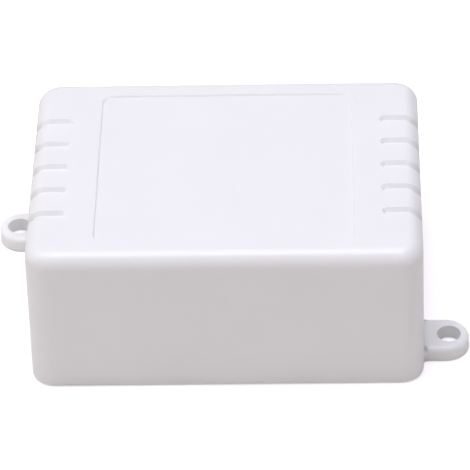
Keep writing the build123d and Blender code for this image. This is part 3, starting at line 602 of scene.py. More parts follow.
# Blue polyester: glossy, injection moulded, with slight flow marks.
relay_blue = add_material(
    "blue_moulded_polyester", 6 * MM, ("1C4998", "2255AC"), (0.2, 0.32), (0.5 * MM, 0.004 * MM), IOR=1.55
)
dress(cover, relay_blue, "base", "relay_plastic", "relay_case")
coat(relay_blue, "relay_base")

# Natural nylon: a warm, waxy off-white.
nylon = add_material(
    "natural_nylon", 3 * MM, ("DDD7C1", "EBE7D6"), (0.4, 0.5), IOR=1.53, Subsurface_Weight=0.1
)
coat(nylon, "relay_bobbin")

# Enamelled copper wire, wound in layers: each turn is 0.1 mm wide and is drawn as 0.25 mm.
turn_width = 0.25 * MM
turn_rise = 0.05 * MM
copper, tree, shader, place = start_material(
    "enamelled_copper_wire", Base_Color=linear("B5622C"), Roughness=0.3, Metallic=1.0
)
turns = add_node(
    tree, "TexWave", {"Vector": place, "Scale": pi / (10 * turn_width), "Distortion": 0.0},
    bands_direction="Z", wave_profile="SIN",
)
ridge = add_node(tree, "Bump", {"Height": turns.outputs["Fac"], "Distance": turn_rise})
feed(tree, shader, {"Normal": ridge})
coat(copper, "relay_winding")

# Tin plating over iron or copper alloy: satin grey, a little uneven.
tin_plate = add_material(
    "tin_plated_metal", 1.2 * MM, ("B9B9B4", "D3D1C9"), (0.25, 0.42), (0.15 * MM, 0.003 * MM),
    Metallic=1.0,
)
coat(tin_plate, "relay_core", "relay_yoke", "relay_armature", "relay_coil_pins")

# Phosphor bronze strip: yellow-brown and rolled, so it has fine lines along its length.
bronze = add_material(
    "phosphor_bronze_strip", 2 * MM, ("BD8E4B", "D6A963"), (0.2, 0.38), squeeze=(1.0, 12.0, 12.0),
    Metallic=1.0,
)
coat(bronze, "contact_blade", "open_contact", "closed_contact")


# The terminal blocks: two three-pole blocks of blue polyamide, moulded with an open cell for each
# clamp. A tinned contact strip is pressed into each cell from below.
block_chamfer = 0.8 * MM
clamp_pitch = 5.08 * MM
poles = 3
cell_floor = 1.4 * MM
cell_half_width = 1.9 * MM
cell_front_wall = 1.9 * MM
entry_half_width, entry_height, entry_floor, entry_corner = 1.5 * MM, 3.5 * MM, 1.7 * MM, 0.5 * MM
bore_radius, head_bore_radius = 1.3 * MM, 1.85 * MM
seat_thickness = 0.75 * MM
head_room = 1.85 * MM
slit_half_width = 1.15 * MM
slit_play = 0.05 * MM
pole_line = 0.18 * MM

# Blue polyamide: satin, with the faint cloud of its glass fibres.
terminal_blue = add_material(
    "blue_moulded_polyamide", 2.5 * MM, ("2565A3", "3078BB"), (0.34, 0.48), (0.3 * MM, 0.006 * MM),
    IOR=1.53,
)

for block in ("input", "output"):
    low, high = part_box(f"{block}_terminal_body")
    clamp_y = centre_of(f"{block}_clamp_cage_1").y
    strip_low, strip_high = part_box(f"{block}_contacts")
    cell_front = low.y + cell_front_wall
    cell_back = 2 * clamp_y - cell_front
    cell_low, cell_top = low.z + cell_floor, high.z - head_room - seat_thickness
    entry_low, entry_top = low.z + entry_floor, low.z + entry_floor + entry_height
    above = high.z + MM
    seat = cell_top + seat_thickness
    body = add_block(f"{block}_terminal_moulding", low, high)
    round_edges(
        body, lambda edge: runs_along(edge, 0) and middle(edge).z > high.z - hair, block_chamfer, 1
    )
    for pole in range(poles):
        x = low.x + (pole + 0.5) * clamp_pitch
        centre = (x, clamp_y, 0)
        left, right = x - entry_half_width, x + entry_half_width
        entry = add_block("entry", (left, clamp_y, entry_low), (right, high.y + MM, entry_top))
        round_edges(entry, lambda edge: runs_along(edge, 1), entry_corner, 4)
        left, right = x - cell_half_width, x + cell_half_width
        cell = add_block("cell", (left, cell_front, cell_low), (right, cell_back, cell_top))
        left, right = x - slit_half_width, x + slit_half_width
        slit_high = (right, cell_front + slit_play, strip_high.z)
        cut(
            body, cell, entry, add_rod("bore", centre, bore_radius, cell_top - MM, above),
            add_rod("head_bore", centre, head_bore_radius, seat, above),
            add_block("slit", (left, strip_low.y, low.z - MM), slit_high),
        )
    for pole in range(1, poles):
        x = low.x + pole * clamp_pitch
        left, right = x - pole_line / 2, x + pole_line / 2
        line = add_block("pole_line", (left, low.y - MM, low.z + MM), (right, high.y + MM, above))
        core_low = (x - MM, low.y + pole_line, low.z)
        cut(line, add_block("core", core_low, (x + MM, high.y - pole_line, high.z - pole_line)))
        cut(body, line)
    soften(body, 0.1 * MM)
    dress(body, terminal_blue, "base", "terminal_plastic", f"{block}_terminal_body")
    coat(tin_plate, f"{block}_contacts")


# The wire clamps: in each cell a stamped cage of plated steel rides on a slotted screw. Turning the
# screw draws the cage up, and the cage presses the wire against the fixed contact.
cage_wall = 0.4 * MM
cage_bar = 0.6 * MM
cage_roof = 0.8 * MM
clamp_shank_radius = 1.2 * MM
clamp_thread_play = 0.05 * MM
clamp_head_radius = 1.75 * MM
clamp_head_height = 1.4 * MM
clamp_head_chamfer = 0.15 * MM
clamp_tip_chamfer = 0.2 * MM
clamp_slot_width = 0.6 * MM
clamp_slot_depth = 0.7 * MM

low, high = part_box("input_clamp_cage_1")
clamp_axis = centre_of("input_clamp_cage_1", z=0)
first_cage = add_block("cage", low, high)
window_low = (low.x + cage_wall, low.y - MM, low.z + cage_bar)
window_high = (high.x - cage_wall, high.y + MM, high.z - cage_roof)
thread_radius = clamp_shank_radius + clamp_thread_play
cut(
    first_cage, add_block("window", window_low, window_high),
    add_rod("thread", clamp_axis, thread_radius, high.z - cage_roof - MM, high.z + MM),
)
soften(first_cage, 0.1 * MM)

low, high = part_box("input_clamp_screw_1")
head_foot = high.z - clamp_head_height
slotted = [
    (low.z, clamp_shank_radius - clamp_tip_chamfer), (low.z + clamp_tip_chamfer, clamp_shank_radius),
    (head_foot, clamp_shank_radius), (head_foot, clamp_head_radius),
    (high.z - clamp_head_chamfer, clamp_head_radius), (high.z, clamp_head_radius - clamp_head_chamfer),
]
first_screw = add_turned("screw", clamp_axis, slotted, sides=40)
slot_half = Vector((2 * clamp_head_radius, clamp_slot_width / 2, clamp_slot_depth))
slot_place = clamp_axis + Vector((0, 0, high.z))
cut(first_screw, add_block("slot", slot_place - slot_half, slot_place + slot_half))
soften(first_screw, 0.06 * MM)

for block in ("input", "output"):
    for pole in range(1, poles + 1):
        for kind, first, material, slot in (
            ("cage", first_cage, tin_plate, "tinned_metal"),
            ("screw", first_screw, zinc_steel, "screw_steel"),
        ):
            node = f"{block}_clamp_{kind}_{pole}"
            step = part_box(node)[0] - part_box(f"input_clamp_{kind}_1")[0]
            dress(copy_to(first, f"{node}_made", step), material, node, slot, node)
bpy.data.objects.remove(first_cage)
bpy.data.objects.remove(first_screw)


# The delay trimmer: a blue thermoset body with a white nylon rotor, turned with a screwdriver
# through the rear wall. Its slot is cut across, with an arrow that shows where it points.
trimmer_low, trimmer_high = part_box("trimmer_body")
rotor_low, rotor_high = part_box("trimmer_rotor")
rotor_axis = centre_of("trimmer_rotor", y=0)
rotor_radius = 2.0 * MM
rotor_play = 0.05 * MM
rotor_foot_chamfer, rotor_top_chamfer = 0.1 * MM, 0.2 * MM
trimmer_corner = 0.5 * MM
rotor_slot_half = Vector((1.5, 0.8, 0.35)) * MM
arrow_radius, arrow_depth = 0.55 * MM, 0.3 * MM

trimmer = add_block("trimmer_moulding", trimmer_low, trimmer_high)
round_edges(trimmer, lambda edge: runs_along(edge, 1), trimmer_corner, 4)
socket_floor, socket_mouth = rotor_low.y - rotor_play, trimmer_high.y + MM
cut(trimmer, add_rod("socket", rotor_axis, rotor_radius + rotor_play, socket_floor, socket_mouth, "Y"))
soften(trimmer, 0.12 * MM)
# Blue thermoset: harder and glossier than the polyamide beside it.
trimmer_blue = add_material("blue_thermoset", 2.0 * MM, ("184E9C", "1F5CB4"), (0.24, 0.38), IOR=1.55)
dress(trimmer, trimmer_blue, "base", "trimmer_plastic", "trimmer_body")

rotor_profile = [
    (rotor_low.y, rotor_radius - rotor_foot_chamfer), (rotor_low.y + rotor_foot_chamfer, rotor_radius),
    (rotor_high.y - rotor_top_chamfer, rotor_radius), (rotor_high.y, rotor_radius - rotor_top_chamfer),
]
rotor = add_turned("trimmer_rotor_moulding", rotor_axis, rotor_profile, "Y", 64)
slot_place = centre_of("trimmer_rotor", y=rotor_high.y)
arrow_place = slot_place + Vector((rotor_slot_half.x, 0, 0))
cut(
    rotor, add_block("slot", slot_place - rotor_slot_half, slot_place + rotor_slot_half),
    add_rod("arrow", arrow_place, arrow_radius, -arrow_depth, MM, "Y", 3),
)
soften(rotor, 0.06 * MM)
dress(rotor, nylon, "delay_rotor", "rotor_plastic", "trimmer_rotor")
coat(tin_plate, "trimmer_leads", "button_leads", "lamp_leads")


# The signal lamps: two 3 mm lamps cast in tinted epoxy, green for power and red for the relay,
# lying towards the rear wall on bent leads.
lamp_radius = 1.5 * MM
flange_radius, flange_length, flange_chamfer = 1.7 * MM, 0.9 * MM, 0.1 * MM
dome_steps = 8
dome_angle = radians(88)
for node, slot, name, colours in (
    ("power_lamp", "green_lens", "green_cast_epoxy", ("2BB553", "3FD468")),
    ("relay_lamp", "red_lens", "red_cast_epoxy", ("C22A22", "E5382C")),
):
    low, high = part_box(node)
    profile = [
        (low.y, flange_radius - flange_chamfer), (low.y + flange_chamfer, flange_radius),
        (low.y + flange_length, flange_radius), (low.y + flange_length, lamp_radius),
    ]
    for step in range(dome_steps + 1):
        angle = step / dome_steps * dome_angle
        profile.append((high.y - lamp_radius + lamp_radius * sin(angle), lamp_radius * cos(angle)))
    lamp = add_turned(f"{node}_lens", centre_of(node, y=0), profile, "Y", 40)
    soften(lamp, 0.05 * MM, sharp=50)
    # Tinted epoxy: glossy and deep in colour, because light goes some way into it.
    lens = add_material(name, 1.2 * MM, colours, (0.14, 0.24), IOR=1.53, Transmission_Weight=0.35)
    dress(lamp, lens, "base", slot, node)


# The start button: a small black tact switch with a steel face plate. Its plunger is pushed with a
# pin through the rear wall, and a snap dome inside returns it.
button_low, button_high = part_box("button_body")
plunger_low, plunger_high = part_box("button_plunger")
plunger_axis = centre_of("button_plunger", y=0)
plunger_radius = 0.9 * MM
plunger_play = 0.05 * MM
plunger_dome = 0.3 * MM
well_floor = plunger_low.y - 0.4 * MM
face_plate = 0.3 * MM
face_inset = 0.15 * MM
face_corner = 0.3 * MM

button_front = (button_high.x, button_high.y - face_plate, button_high.z)
button = add_block("button_moulding", button_low, button_front)
face_low = (button_low.x + face_inset, button_high.y - 1.5 * face_plate, button_low.z + face_inset)
face_high = (button_high.x - face_inset, button_high.y, button_high.z - face_inset)
face = add_block("face_plate", face_low, face_high)
well_radius = plunger_radius + plunger_play
for part in (button, face):
    round_edges(part, lambda edge: runs_along(edge, 1), face_corner, 3)
    cut(part, add_rod("well", plunger_axis, well_radius, well_floor, button_high.y + MM, "Y", 32))
    soften(part, 0.06 * MM)
# Black nylon: satin, a little uneven where it filled the mould.
black_nylon = add_material(
    "black_moulded_nylon", 1.5 * MM, ("151517", "212124"), (0.36, 0.5), (0.2 * MM, 0.004 * MM), IOR=1.53
)
dress(button, black_nylon, "base", "dark_plastic", "button_body")
dress(face, tin_plate, "base", "tinned_metal")

plunger_profile = [
    (plunger_low.y, plunger_radius), (plunger_high.y - plunger_dome, plunger_radius),
    (plunger_high.y - plunger_dome / 3, 0.87 * plunger_radius), (plunger_high.y, 0.6 * plunger_radius),
]
plunger = add_turned("button_plunger_moulding", plunger_axis, plunger_profile, "Y", 32)
soften(plunger, 0.05 * MM)
dress(plunger, black_nylon, "start_plunger", "dark_plastic", "button_plunger")


# The range header: three gold-flashed square pins in a black nylon bar with notched cells. A jumper
# cap bridges two of them and picks the delay range.
header_low, header_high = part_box("range_header")
header_x = centre_of("range_header").x
header_pitch = 2.54 * MM
header_count = 3
pin_half = 0.32 * MM
notch = 0.55 * MM
jumper_low, jumper_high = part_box("range_jumper")
jumper_roof, jumper_corner = 0.8 * MM, 0.35 * MM
socket_half = pin_half + 0.06 * MM
probe_half_width, probe_half_length, probe_depth = 0.3 * MM, 0.5 * MM, 0.4 * MM
grip_radius, grip_half_length, grip_drop = 0.2 * MM, 1.2 * MM, 2.0 * MM
pin_rows = [header_low.y + (pin + 0.5) * header_pitch for pin in range(header_count)]


def add_slug(name, row, half_width, half_length, bottom, top):
    """A square cutter about a pin."""
    low = (header_x - half_width, row - half_length, bottom)
    return add_block(name, low, (header_x + half_width, row + half_length, top))


header = add_block("range_header_moulding", header_low, header_high)
for x in (header_low.x, header_high.x):
    for row in range(header_count + 1):
        corner = (x, header_low.y + row * header_pitch, 0)
        cut(header, add_rod("notch", corner, notch, 0, 2 * header_high.z, sides=4))
for row in pin_rows:
    cut(header, add_slug("hole", row, pin_half, pin_half, 0, 2 * header_high.z))
soften(header, 0.06 * MM)
dress(header, black_nylon, "base", "dark_plastic", "range_header")
# Gold flash over brass: warm yellow and smooth.
gold_flash = add_material(
    "gold_flashed_brass", 1.0 * MM, ("D2A752", "E7C272"), (0.16, 0.3), Metallic=1.0
)
coat(gold_flash, "header_pins")

jumper = add_block("range_jumper_moulding", jumper_low, jumper_high)
round_edges(jumper, lambda edge: runs_along(edge, 2), jumper_corner, 4)
for row in pin_rows[1:]:
    probe_low, probe_high = jumper_high.z - probe_depth, jumper_high.z + MM
    cut(
        jumper, add_slug("socket", row, socket_half, socket_half, 0, jumper_high.z - jumper_roof),
        add_slug("probe_hole", row, probe_half_width, probe_half_length, probe_low, probe_high),
    )
for x in (jumper_low.x, jumper_high.x):
    grip = (x, (pin_rows[1] + pin_rows[2]) / 2, jumper_high.z - grip_drop)
    cut(jumper, add_rod("grip", grip, grip_radius, -grip_half_length, grip_half_length, "Y", 16))
soften(jumper, 0.1 * MM)
dress(jumper, black_nylon, "jumper", "dark_plastic", "range_jumper")


# The capacitors: aluminium cans in a dark shrink sleeve, rolled in near the foot and over at the
# top. The bare top is scored so that it opens under pressure, and a pale stripe marks a lead.
can_roll_depth = 0.3 * MM
roll_start, waist_start, waist_end, roll_end = 1.6 * MM, 1.9 * MM, 2.3 * MM, 2.6 * MM
can_foot_rise = 0.05 * MM
can_rim = 0.5 * MM
can_top_drop = 0.18 * MM
score_share, score_depth, score_half_width = 0.62, 0.12 * MM, 0.08 * MM
stripe_half_angle = 24
can_lead_radius = 0.3 * MM

# Shrink sleeve: a thin, glossy, dark blue film.
sleeve = add_material("dark_shrink_sleeve", 3 * MM, ("161D3C", "1F284E"), (0.22, 0.34), IOR=1.54)
# The printed stripe on the sleeve: pale grey ink under the same gloss.
stripe = add_material("pale_sleeve_print", 2 * MM, ("A4ADC1", "B9C0CF"), (0.24, 0.36), IOR=1.54)
# Bare aluminium, drawn: pale grey with a satin sheen.
aluminium = add_material(
    "drawn_aluminium", 0.8 * MM, ("C8CACE", "DEDEDF"), (0.24, 0.4), (0.15 * MM, 0.004 * MM), Metallic=1.0
)


def paint(piece, wanted, material):
    """Gives another material to the faces for which wanted is true."""
    piece.data.materials.append(material)
    number = len(piece.data.materials) - 1
    for face in piece.data.polygons:
        if wanted(face):
            face.material_index = number


for node in ("filter_capacitor", "timing_capacitor"):
    low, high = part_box(node)
    foot = centre_of(node, z=board_top)
    radius, height = (high.x - low.x) / 2, high.z - board_top
    waist = radius - can_roll_depth
    profile = [
        (0, radius - 1.6 * can_rim), (can_foot_rise, radius - can_rim),
        (0.3 * can_rim, radius - 0.35 * can_rim), (can_rim, radius),
        (roll_start, radius), (waist_start, waist), (waist_end, waist), (roll_end, radius),
        (height - can_rim, radius), (height - 0.3 * can_rim, radius - 0.3 * can_rim),
        (height, radius - can_rim), (height, radius - 1.5 * can_rim),
        (height - can_top_drop, radius - 1.7 * can_rim),
    ]
    can = add_turned(f"{node}_can", foot, profile, sides=72)
    middle_line, score_floor = centre_of(node, z=0), high.z - can_top_drop - score_depth
    score_reach = score_share * radius
    cut_cross(can, middle_line, score_floor, high.z + MM, score_reach, score_half_width)
    soften(can, 0.05 * MM, sharp=50)
    lay_on(can, sleeve)

    def on_top(face):
        out = (face.center - foot).to_2d().length
        return face.center.z > high.z - can_rim and out < radius - 1.5 * can_rim

    def on_stripe(face):
        turned = (face.center - foot).to_2d().angle_signed(Vector((1, 0)), 0)
        upright = abs(face.normal.z) < 0.8 and foot.z + can_rim < face.center.z
        return upright and abs(degrees(turned)) < stripe_half_angle

    paint(can, on_stripe, stripe)
    paint(can, on_top, aluminium)
    leads = []
    for side in (-1, 1):
        lead_place = (foot.x + side * radius / 2, foot.y, 0)
        lead = add_rod("lead", lead_place, can_lead_radius, low.z, board_top, sides=16)
        leads.append(lay_on(lead, tin_plate))
    enlist(join([can] + leads, f"{node}_can"), "base", "can_sleeve", node)


# The timer chip and the trigger isolator: black epoxy moulded round a lead frame, with slanted
# sides, a notch that marks one end, and a dot by the first leg.
chip_slant = radians(5)
chip_notch_radius, chip_notch_depth = 0.8 * MM, 0.25 * MM
chip_dot_radius, chip_dot_depth, chip_dot_inset = 0.45 * MM, 0.125 * MM, 1.3 * MM

# Black epoxy: matt and slightly grey, with a sandy grain that is drawn at 0.2 mm.
epoxy_black = add_material(
    "black_moulded_epoxy", 1.5 * MM, ("1E1E20", "2C2C2E"), (0.52, 0.68), (0.2 * MM, 0.008 * MM), IOR=1.55
)

for node in ("timer_chip", "trigger_isolator"):
    low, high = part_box(node)
    centre = centre_of(node)
    size = high - low
    chip = add_block(f"{node}_moulding", low, high)
    pick(chip, "faces", lambda face: True)
    bpy.ops.mesh.bisect(plane_co=(0, 0, centre.z), plane_no=(0, 0, 1))
    draw_in = 2 * tan(chip_slant) * (high.z - centre.z)
    pick(chip, "faces", lambda face: abs(face.normal.z) > 0.9)
    shrink = ((size.x - draw_in) / size.x, (size.y - draw_in) / size.y, 1)
    bpy.ops.transform.resize(value=shrink, center_override=centre)
    bpy.ops.object.mode_set(mode="OBJECT")
    notch_place = (centre.x, high.y, high.z)
    dot_place = (low.x + chip_dot_inset, high.y - chip_dot_inset, high.z)
    cut(
        chip, add_rod("notch", notch_place, chip_notch_radius, -chip_notch_depth, MM, sides=32),
        add_rod("dot", dot_place, chip_dot_radius, -chip_dot_depth, MM, sides=24),
    )
    soften(chip, 0.08 * MM, sharp=25)
    dress(chip, epoxy_black, "base", "dark_plastic", node)
coat(tin_plate, "timer_chip_legs", "trigger_isolator_legs")


# The flyback diode: black epoxy moulded round a tinned wire, with a silver band at the cathode end.
# The wire is bent down at both ends and soldered through the board.
diode_low, diode_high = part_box("flyback_diode")
diode_radius = 1.35 * MM
diode_half_length = 2.6 * MM
diode_nose, diode_shoulder = 0.25 * MM, 0.2 * MM
wire_radius = 0.4 * MM
wire_bend = 0.9 * MM
diode_axis = centre_of("flyback_diode", z=board_top + diode_radius)
band_start, band_end = 1.1 * MM, 1.9 * MM


def add_wire(name, points, radius, bend):
    """A round wire through these points, with its corners turned at one radius."""
    line = bpy.data.curves.new(name, "CURVE")
    line.dimensions = "3D"
    line.bevel_depth = radius
    line.bevel_resolution = 3
    line.use_fill_caps = True
    run = line.splines.new("BEZIER")
    stops = [points[0]]
    for before, corner, after in zip(points, points[1:], points[2:]):
        stops.append(corner + (before - corner).normalized() * bend)
        stops.append(corner + (after - corner).normalized() * bend)
    stops.append(points[-1])
    run.bezier_points.add(len(stops) - 1)
    for index, (point, place) in enumerate(zip(run.bezier_points, stops)):
        point.co = place
        starts_run = index % 2 == 0
        partner = stops[index + 1] if starts_run and index + 1 < len(stops) else stops[index - 1]
        handle = (partner - place).normalized() * 0.55 * bend
        point.handle_left_type = point.handle_right_type = "FREE"
        point.handle_left = place - handle if starts_run else place + handle
        point.handle_right = place + handle if starts_run else place - handle
    wire = bpy.data.objects.new(name, line)
    bpy.context.scene.collection.objects.link(wire)
    bpy.ops.object.select_all(action="DESELECT")
    wire.select_set(True)
    bpy.context.view_layer.objects.active = wire
    bpy.ops.object.convert(target="MESH")
    bpy.ops.object.shade_smooth_by_angle(angle=radians(50))
    return bpy.context.object


wire_side = Vector(((diode_high.x - diode_low.x) / 2 - wire_radius, 0, 0))
wire_down = Vector((0, 0, diode_low.z - diode_axis.z))
route = [
    diode_axis - wire_side + wire_down, diode_axis - wire_side,
    diode_axis + wire_side, diode_axis + wire_side + wire_down,
]
diode_wire = lay_on(add_wire("diode_wire", route, wire_radius, wire_bend), tin_plate)
barrel_profile = [
    (-diode_half_length, diode_radius - diode_nose), (-diode_half_length + diode_shoulder, diode_radius),
    (band_start, diode_radius), (band_end, diode_radius),
    (diode_half_length - diode_shoulder, diode_radius), (diode_half_length, diode_radius - diode_nose),
]
barrel = add_turned("barrel", diode_axis, barrel_profile, "X")
soften(barrel, 0.06 * MM)
lay_on(barrel, epoxy_black)
# Silver ink for the band.
silver_ink = add_material("silver_ink", 0.7 * MM, ("BDBEC1", "D3D4D5"), (0.4, 0.55), Metallic=0.4)
paint(barrel, lambda face: band_start < face.center.x - diode_axis.x < band_end, silver_ink)
enlist(join([barrel, diode_wire], "flyback_diode_part"), "base", "dark_plastic", "flyback_diode")


# The transistor and the regulator: half-round bodies of black epoxy, moulded round three tinned
# leads that hold them a little above the board.
half_can_flat = 1.3 * MM
half_can_radius = 2.3 * MM
half_can_foot = board_top + 2.0 * MM
half_can_lead = 0.225 * MM
half_can_pitch = 1.27 * MM
for node in ("driver_transistor", "supply_regulator"):
    low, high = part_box(node)
    centre = centre_of(node, y=high.y - half_can_radius, z=0)
    profile = [
        (half_can_foot, 0.95 * half_can_radius), ((half_can_foot + high.z) / 2, half_can_radius),
        (high.z, 0.96 * half_can_radius),
    ]
    round_body = add_turned(f"{node}_moulding", centre, profile, sides=64)
    flat_low = centre - Vector((2 * half_can_radius, 2 * half_can_radius, 0))
    flat_high = centre + Vector((2 * half_can_radius, -half_can_flat, 2 * high.z))
    cut(round_body, add_block("flat", flat_low, flat_high))
    soften(round_body, 0.12 * MM)
    parts = [lay_on(round_body, epoxy_black)]
    for side in (-1, 0, 1):
        x = centre.x + side * half_can_pitch
        lead_low = (x - half_can_lead, centre.y - half_can_lead, low.z)
        lead_high = (x + half_can_lead, centre.y + half_can_lead, half_can_foot + half_can_lead)
        lead = add_block("lead", lead_low, lead_high)
        soften(lead, 0.05 * MM)
        parts.append(lay_on(lead, tin_plate))
    enlist(join(parts, f"{node}_part"), "base", "dark_plastic", node)


# The chip resistors: white ceramic with a black film on top and a tinned cap round each end,
# soldered flat in two rows of three.
resistor_low, resistor_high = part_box("chip_resistors")
resistor_size = Vector((3.2 * MM, 1.6 * MM, resistor_high.z - resistor_low.z))
resistor_columns, resistor_rows = 2, 3
end_cap = 0.55 * MM
film = 0.04 * MM
slab_inset = Vector((0.05 * MM, 0.03 * MM, film))
film_inset = 0.1 * MM

# Alumina ceramic: hard, white and matt.
ceramic = add_material("white_alumina", 0.6 * MM, ("DDDBD2", "EEECE6"), (0.45, 0.6), IOR=1.7)
# Black resist glass, screen printed and fired.
film_black = add_material("black_resist_glass", 0.5 * MM, ("101012", "1C1C1F"), (0.14, 0.28), IOR=1.52)

low, high = resistor_low, resistor_low + resistor_size
film_low = (low.x + end_cap, low.y + film_inset, high.z - 2 * film)
slab = add_block("slab", (low.x + slab_inset.x, low.y + slab_inset.y, low.z), high - slab_inset)
coated = add_block("coated", film_low, (high.x - end_cap, high.y - film_inset, high.z))
left_cap = add_block("cap", low, (low.x + end_cap, high.y, high.z))
right_cap = add_block("cap", (high.x - end_cap, low.y, low.z), high)
parts = []
for part, material, edge in (
    (slab, ceramic, 0.02), (coated, film_black, 0.02),
    (left_cap, tin_plate, 0.08), (right_cap, tin_plate, 0.08),
):
    soften(part, edge * MM)
    parts.append(lay_on(part, material))
resistor = join(parts, "resistor")
spare = resistor_high - high
row_step, column_step = spare.y / (resistor_rows - 1), spare.x / (resistor_columns - 1)
others = [
    copy_to(resistor, "resistor", (column * column_step, row * row_step, 0))
    for column in range(resistor_columns) for row in range(resistor_rows) if column or row
]
enlist(join([resistor] + others, "chip_resistor_set"), "base", "dark_plastic", "chip_resistors")


# The housing: one piece of white ABS, injection moulded over a core, with 0.63 degrees of draft so
# that it leaves the mould. It has round corners, a shallow label field, five thumb grooves over
# each short edge, and an ear with a screw hole on two corners.
body_size = Vector((70.0, 51.0, 29.5)) * MM
draft = radians(0.63)
corner_radius = 4.2 * MM
top_radius = 2.7 * MM
foot_radius = 0.4 * MM
wall = 2.2 * MM


def add_drafted_body(name, inset, base, height, edge):
    """A block with round upright edges and draft, drawn in from the housing's outside."""
    half = body_size / 2 - Vector((inset, inset, 0))
    body = add_block(name, (-half.x, -half.y, base), (half.x, half.y, height))
    pick(body, "faces", lambda face: face.normal.z > 0.9)
    rim, shrink = body.dimensions, 2 * height * tan(draft)
    narrowed = ((rim.x - shrink) / rim.x, (rim.y - shrink) / rim.y, 1)
    bpy.ops.transform.resize(value=narrowed, center_override=(0, 0, height))
    round_edges(body, lambda e: runs_along(e, 2, 0.9), edge, 12)
    return body


housing = add_drafted_body("housing", 0, 0, body_size.z, corner_radius)
round_edges(housing, lambda e: middle(e).z > body_size.z - hair, top_radius, 10)
round_edges(housing, lambda e: middle(e).z < hair, foot_radius, 3)

# Each ear is drawn out of a block in the wall, with a small radius where it meets the wall.
ear_thickness = 2.8 * MM
ear_half_width = 4.15 * MM
ear_root_radius = 1.0 * MM
ear_edge_radius = 0.8 * MM
ear_hole_radius = 2.1 * MM
# A bevel stops a little short of its full width, so that its faces don't meet.
tip_share, root_share = 0.999, 0.98
ear_y = -(body_size.y / 2 - 9.9 * MM)
root_x = body_size.x / 2 - wall / 2
face_x = body_size.x / 2 - 0.1 * MM
tip_x = body_size.x / 2 + 4.05 * MM
hole_x = tip_x + 0.55 * MM
root_half_width = ear_half_width + ear_root_radius


def on_root_corner(edge):
    place = middle(edge)
    across = abs(abs(place.y - ear_y) - ear_half_width)
    return runs_along(edge, 2) and abs(place.x - face_x) < hair and across < hair


for turned in (0, pi):
    root_high = (face_x, ear_y + root_half_width, ear_thickness)
    ear = add_block("ear", (root_x, ear_y - root_half_width, 0), root_high)
    pick(ear, "faces", lambda face: True)
    for side in (-1, 1):
        bpy.ops.mesh.select_all(action="SELECT")
        bpy.ops.mesh.bisect(plane_co=(0, ear_y + side * ear_half_width, 0), plane_no=(0, 1, 0))
    pick(ear, "faces", lambda f: f.normal.x > 0.9 and abs(f.calc_center_median().y - ear_y) < 10 * hair)
    reach = (tip_x + ear_half_width - face_x, 0, 0)
    bpy.ops.mesh.extrude_region_move(TRANSFORM_OT_translate={"value": reach})
    bpy.ops.object.mode_set(mode="OBJECT")
    round_edges(ear, lambda e: runs_along(e, 2) and middle(e).x > tip_x, tip_share * ear_half_width, 20)
    round_edges(ear, on_root_corner, root_share * ear_root_radius, 8)
    upper = ear_thickness - hair
    round_edges(
        ear, lambda e: middle(e).z > upper and middle(e).x > face_x + 10 * hair, ear_edge_radius, 6
    )
    cut(ear, add_rod("hole", (hole_x, ear_y, 0), ear_hole_radius, -MM, ear_thickness + MM, sides=64))
    ear.data.transform(Matrix.Rotation(turned, 4, "Z"))
    fuse(housing, ear)
cut(housing, add_drafted_body("cavity", wall, -wall, body_size.z - wall, corner_radius - wall))

# Four bosses inside the corners take the base screws.
boss_radius = 3.2 * MM
boss_hole_radius = 1.35 * MM
boss_hole_top = plate_thickness + 9.0 * MM
for place in fastener_places("base_screws", base_screw_head):
    fuse(housing, add_rod("boss", place, boss_radius, plate_thickness, body_size.z - wall / 2))
    cut(housing, add_rod("boss_hole", place, boss_hole_radius, plate_thickness - MM, boss_hole_top))

# A thumb groove is a shallow trough with sloping walls and round ends, of one depth over the top,
# round the edge and down the side. Its cutter is the trough's section, drawn along that way.
groove_pitch = 6.45 * MM
groove_half_width = 1.0 * MM
groove_floor_half = 0.5 * MM
groove_depth = 0.8 * MM
groove_inset = 7.4 * MM
groove_foot = 8.0 * MM
turn_steps = 12

top_start = body_size.x / 2 - groove_inset + groove_half_width
turn_x = body_size.x / 2 - tan(draft) * body_size.z - top_radius
turn_z = body_size.z - top_radius
side_end = groove_foot + groove_half_width
fall = turn_z - side_end
trough = [(-groove_depth, groove_floor_half), (0, groove_half_width), (MM, groove_half_width)]
section = [(half, rise) for rise, half in trough] + [(-half, rise) for rise, half in reversed(trough)]


def add_groove_cutter(row_y):
    """The cutter of one groove on the right-hand side."""
    mesh = bpy.data.meshes.new("groove")
    corners = [(top_start, row_y + across, body_size.z + rise) for across, rise in section]
    mesh.from_pydata(corners, [], [range(len(corners))])
    cutter = bpy.data.objects.new("groove", mesh)
    bpy.context.scene.collection.objects.link(cutter)
    pick(cutter, "faces", lambda face: True)
    over, down = (turn_x - top_start, 0, 0), (fall * tan(draft), 0, -fall)
    round_turn = {"center": (turn_x, row_y, turn_z), "axis": (0, 1, 0)}
    bpy.ops.mesh.extrude_region_move(TRANSFORM_OT_translate={"value": over})
    bpy.ops.mesh.spin(steps=turn_steps, angle=draft - pi / 2, **round_turn)
    bpy.ops.mesh.extrude_region_move(TRANSFORM_OT_translate={"value": down})
    bpy.ops.mesh.select_all(action="SELECT")
    bpy.ops.mesh.remove_doubles(threshold=hair)
    bpy.ops.mesh.normals_make_consistent(inside=False)
    bpy.ops.object.mode_set(mode="OBJECT")
    side_x = body_size.x / 2 - tan(draft) * side_end
    fuse(
        cutter, add_turned("top_end", (top_start, row_y, body_size.z), trough, "Z", 32),
        add_turned("side_end", (side_x, row_y, side_end), trough, "X", 32),
    )
    return cutter


cutters = [add_groove_cutter(row * groove_pitch) for row in range(-2, 3)]
for cutter in cutters[:]:
    opposite = copy_to(cutter, "groove", (0, 0, 0))
    opposite.data.transform(Matrix.Rotation(pi, 4, "Z"))
    cutters.append(opposite)
cut(housing, join(cutters, "grooves"))

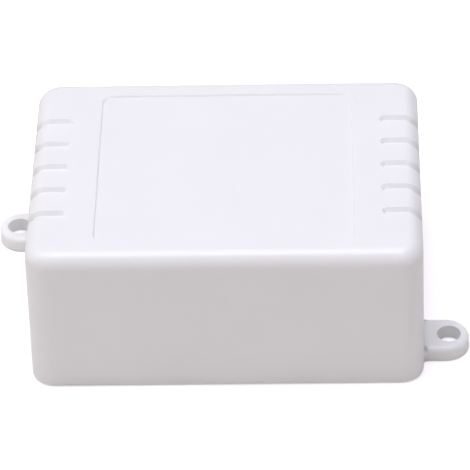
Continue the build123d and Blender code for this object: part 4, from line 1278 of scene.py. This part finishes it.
# The label field, with steep edges that draw a thin line round it.
label_size = Vector((45.6, 41.2, 0.3)) * MM
label_corner = 1.7 * MM
label_slope = 0.22 * MM
label_half = label_size / 2 + Vector((label_slope, label_slope, 0))
label_low = (-label_half.x, -label_half.y, body_size.z - label_size.z)
label = add_block("label", label_low, (label_half.x, label_half.y, body_size.z + label_size.z))
pick(label, "faces", lambda face: face.normal.z < -0.9)
narrowed = (1 - 2 * label_slope / label_half.x, 1 - 2 * label_slope / label_half.y, 1)
bpy.ops.transform.resize(value=narrowed, center_override=(0, 0, 0))
round_edges(label, lambda e: not runs_along(e, 0) and not runs_along(e, 1), label_corner, 8)
cut(housing, label)

# The rear wall: an open window for the wires, and round holes for the trimmer, lamps and button.
window_margin = 0.3 * MM
window_top = 14.4 * MM
window_low = (sill_left - window_margin, body_size.y / 2 - wall - MM, -MM)
window_high = (sill_right + window_margin, body_size.y / 2 + MM, window_top)
cut(housing, add_block("window", window_low, window_high))
rear_hole_radii = {"trimmer_rotor": 2.2, "power_lamp": 1.7, "relay_lamp": 1.7, "button_plunger": 1.4}
for node, radius in rear_hole_radii.items():
    hole_place = centre_of(node, y=body_size.y / 2)
    cut(housing, add_rod("rear_hole", hole_place, radius * MM, -2 * wall, 2 * wall, "Y", 64))
soften(housing, 0.28 * MM)
dress(housing, abs_white, "housing", "housing_plastic", "housing_shell")


# The base screws: four countersunk screws of zinc-plated steel, driven from below through the base
# plate into the corner bosses.
base_screw_shank = 1.3 * MM
base_screw_inset = 0.1 * MM
base_screw_sink = 1.2 * MM
base_screw_rim = 0.1 * MM
base_screw_length = 9.0 * MM
screw_places = fastener_places("base_screws", base_screw_head)
tip = base_screw_inset + base_screw_length
flat_head = [
    (base_screw_inset, base_screw_head - base_screw_rim / 2),
    (base_screw_inset + base_screw_rim, base_screw_head),
    (base_screw_inset + base_screw_sink, base_screw_shank), (tip - base_screw_shank, base_screw_shank),
    (tip, 0.2 * base_screw_shank),
]
base_screw = add_turned("base_screw", screw_places[0], flat_head, sides=32)
recess_top, recess_reach = base_screw_inset + recess_depth, recess_share * base_screw_head
cut_cross(base_screw, screw_places[0], -MM, recess_top, recess_reach, recess_half_width)
soften(base_screw, 0.06 * MM)
place_four(base_screw, "base_screws", screw_places)
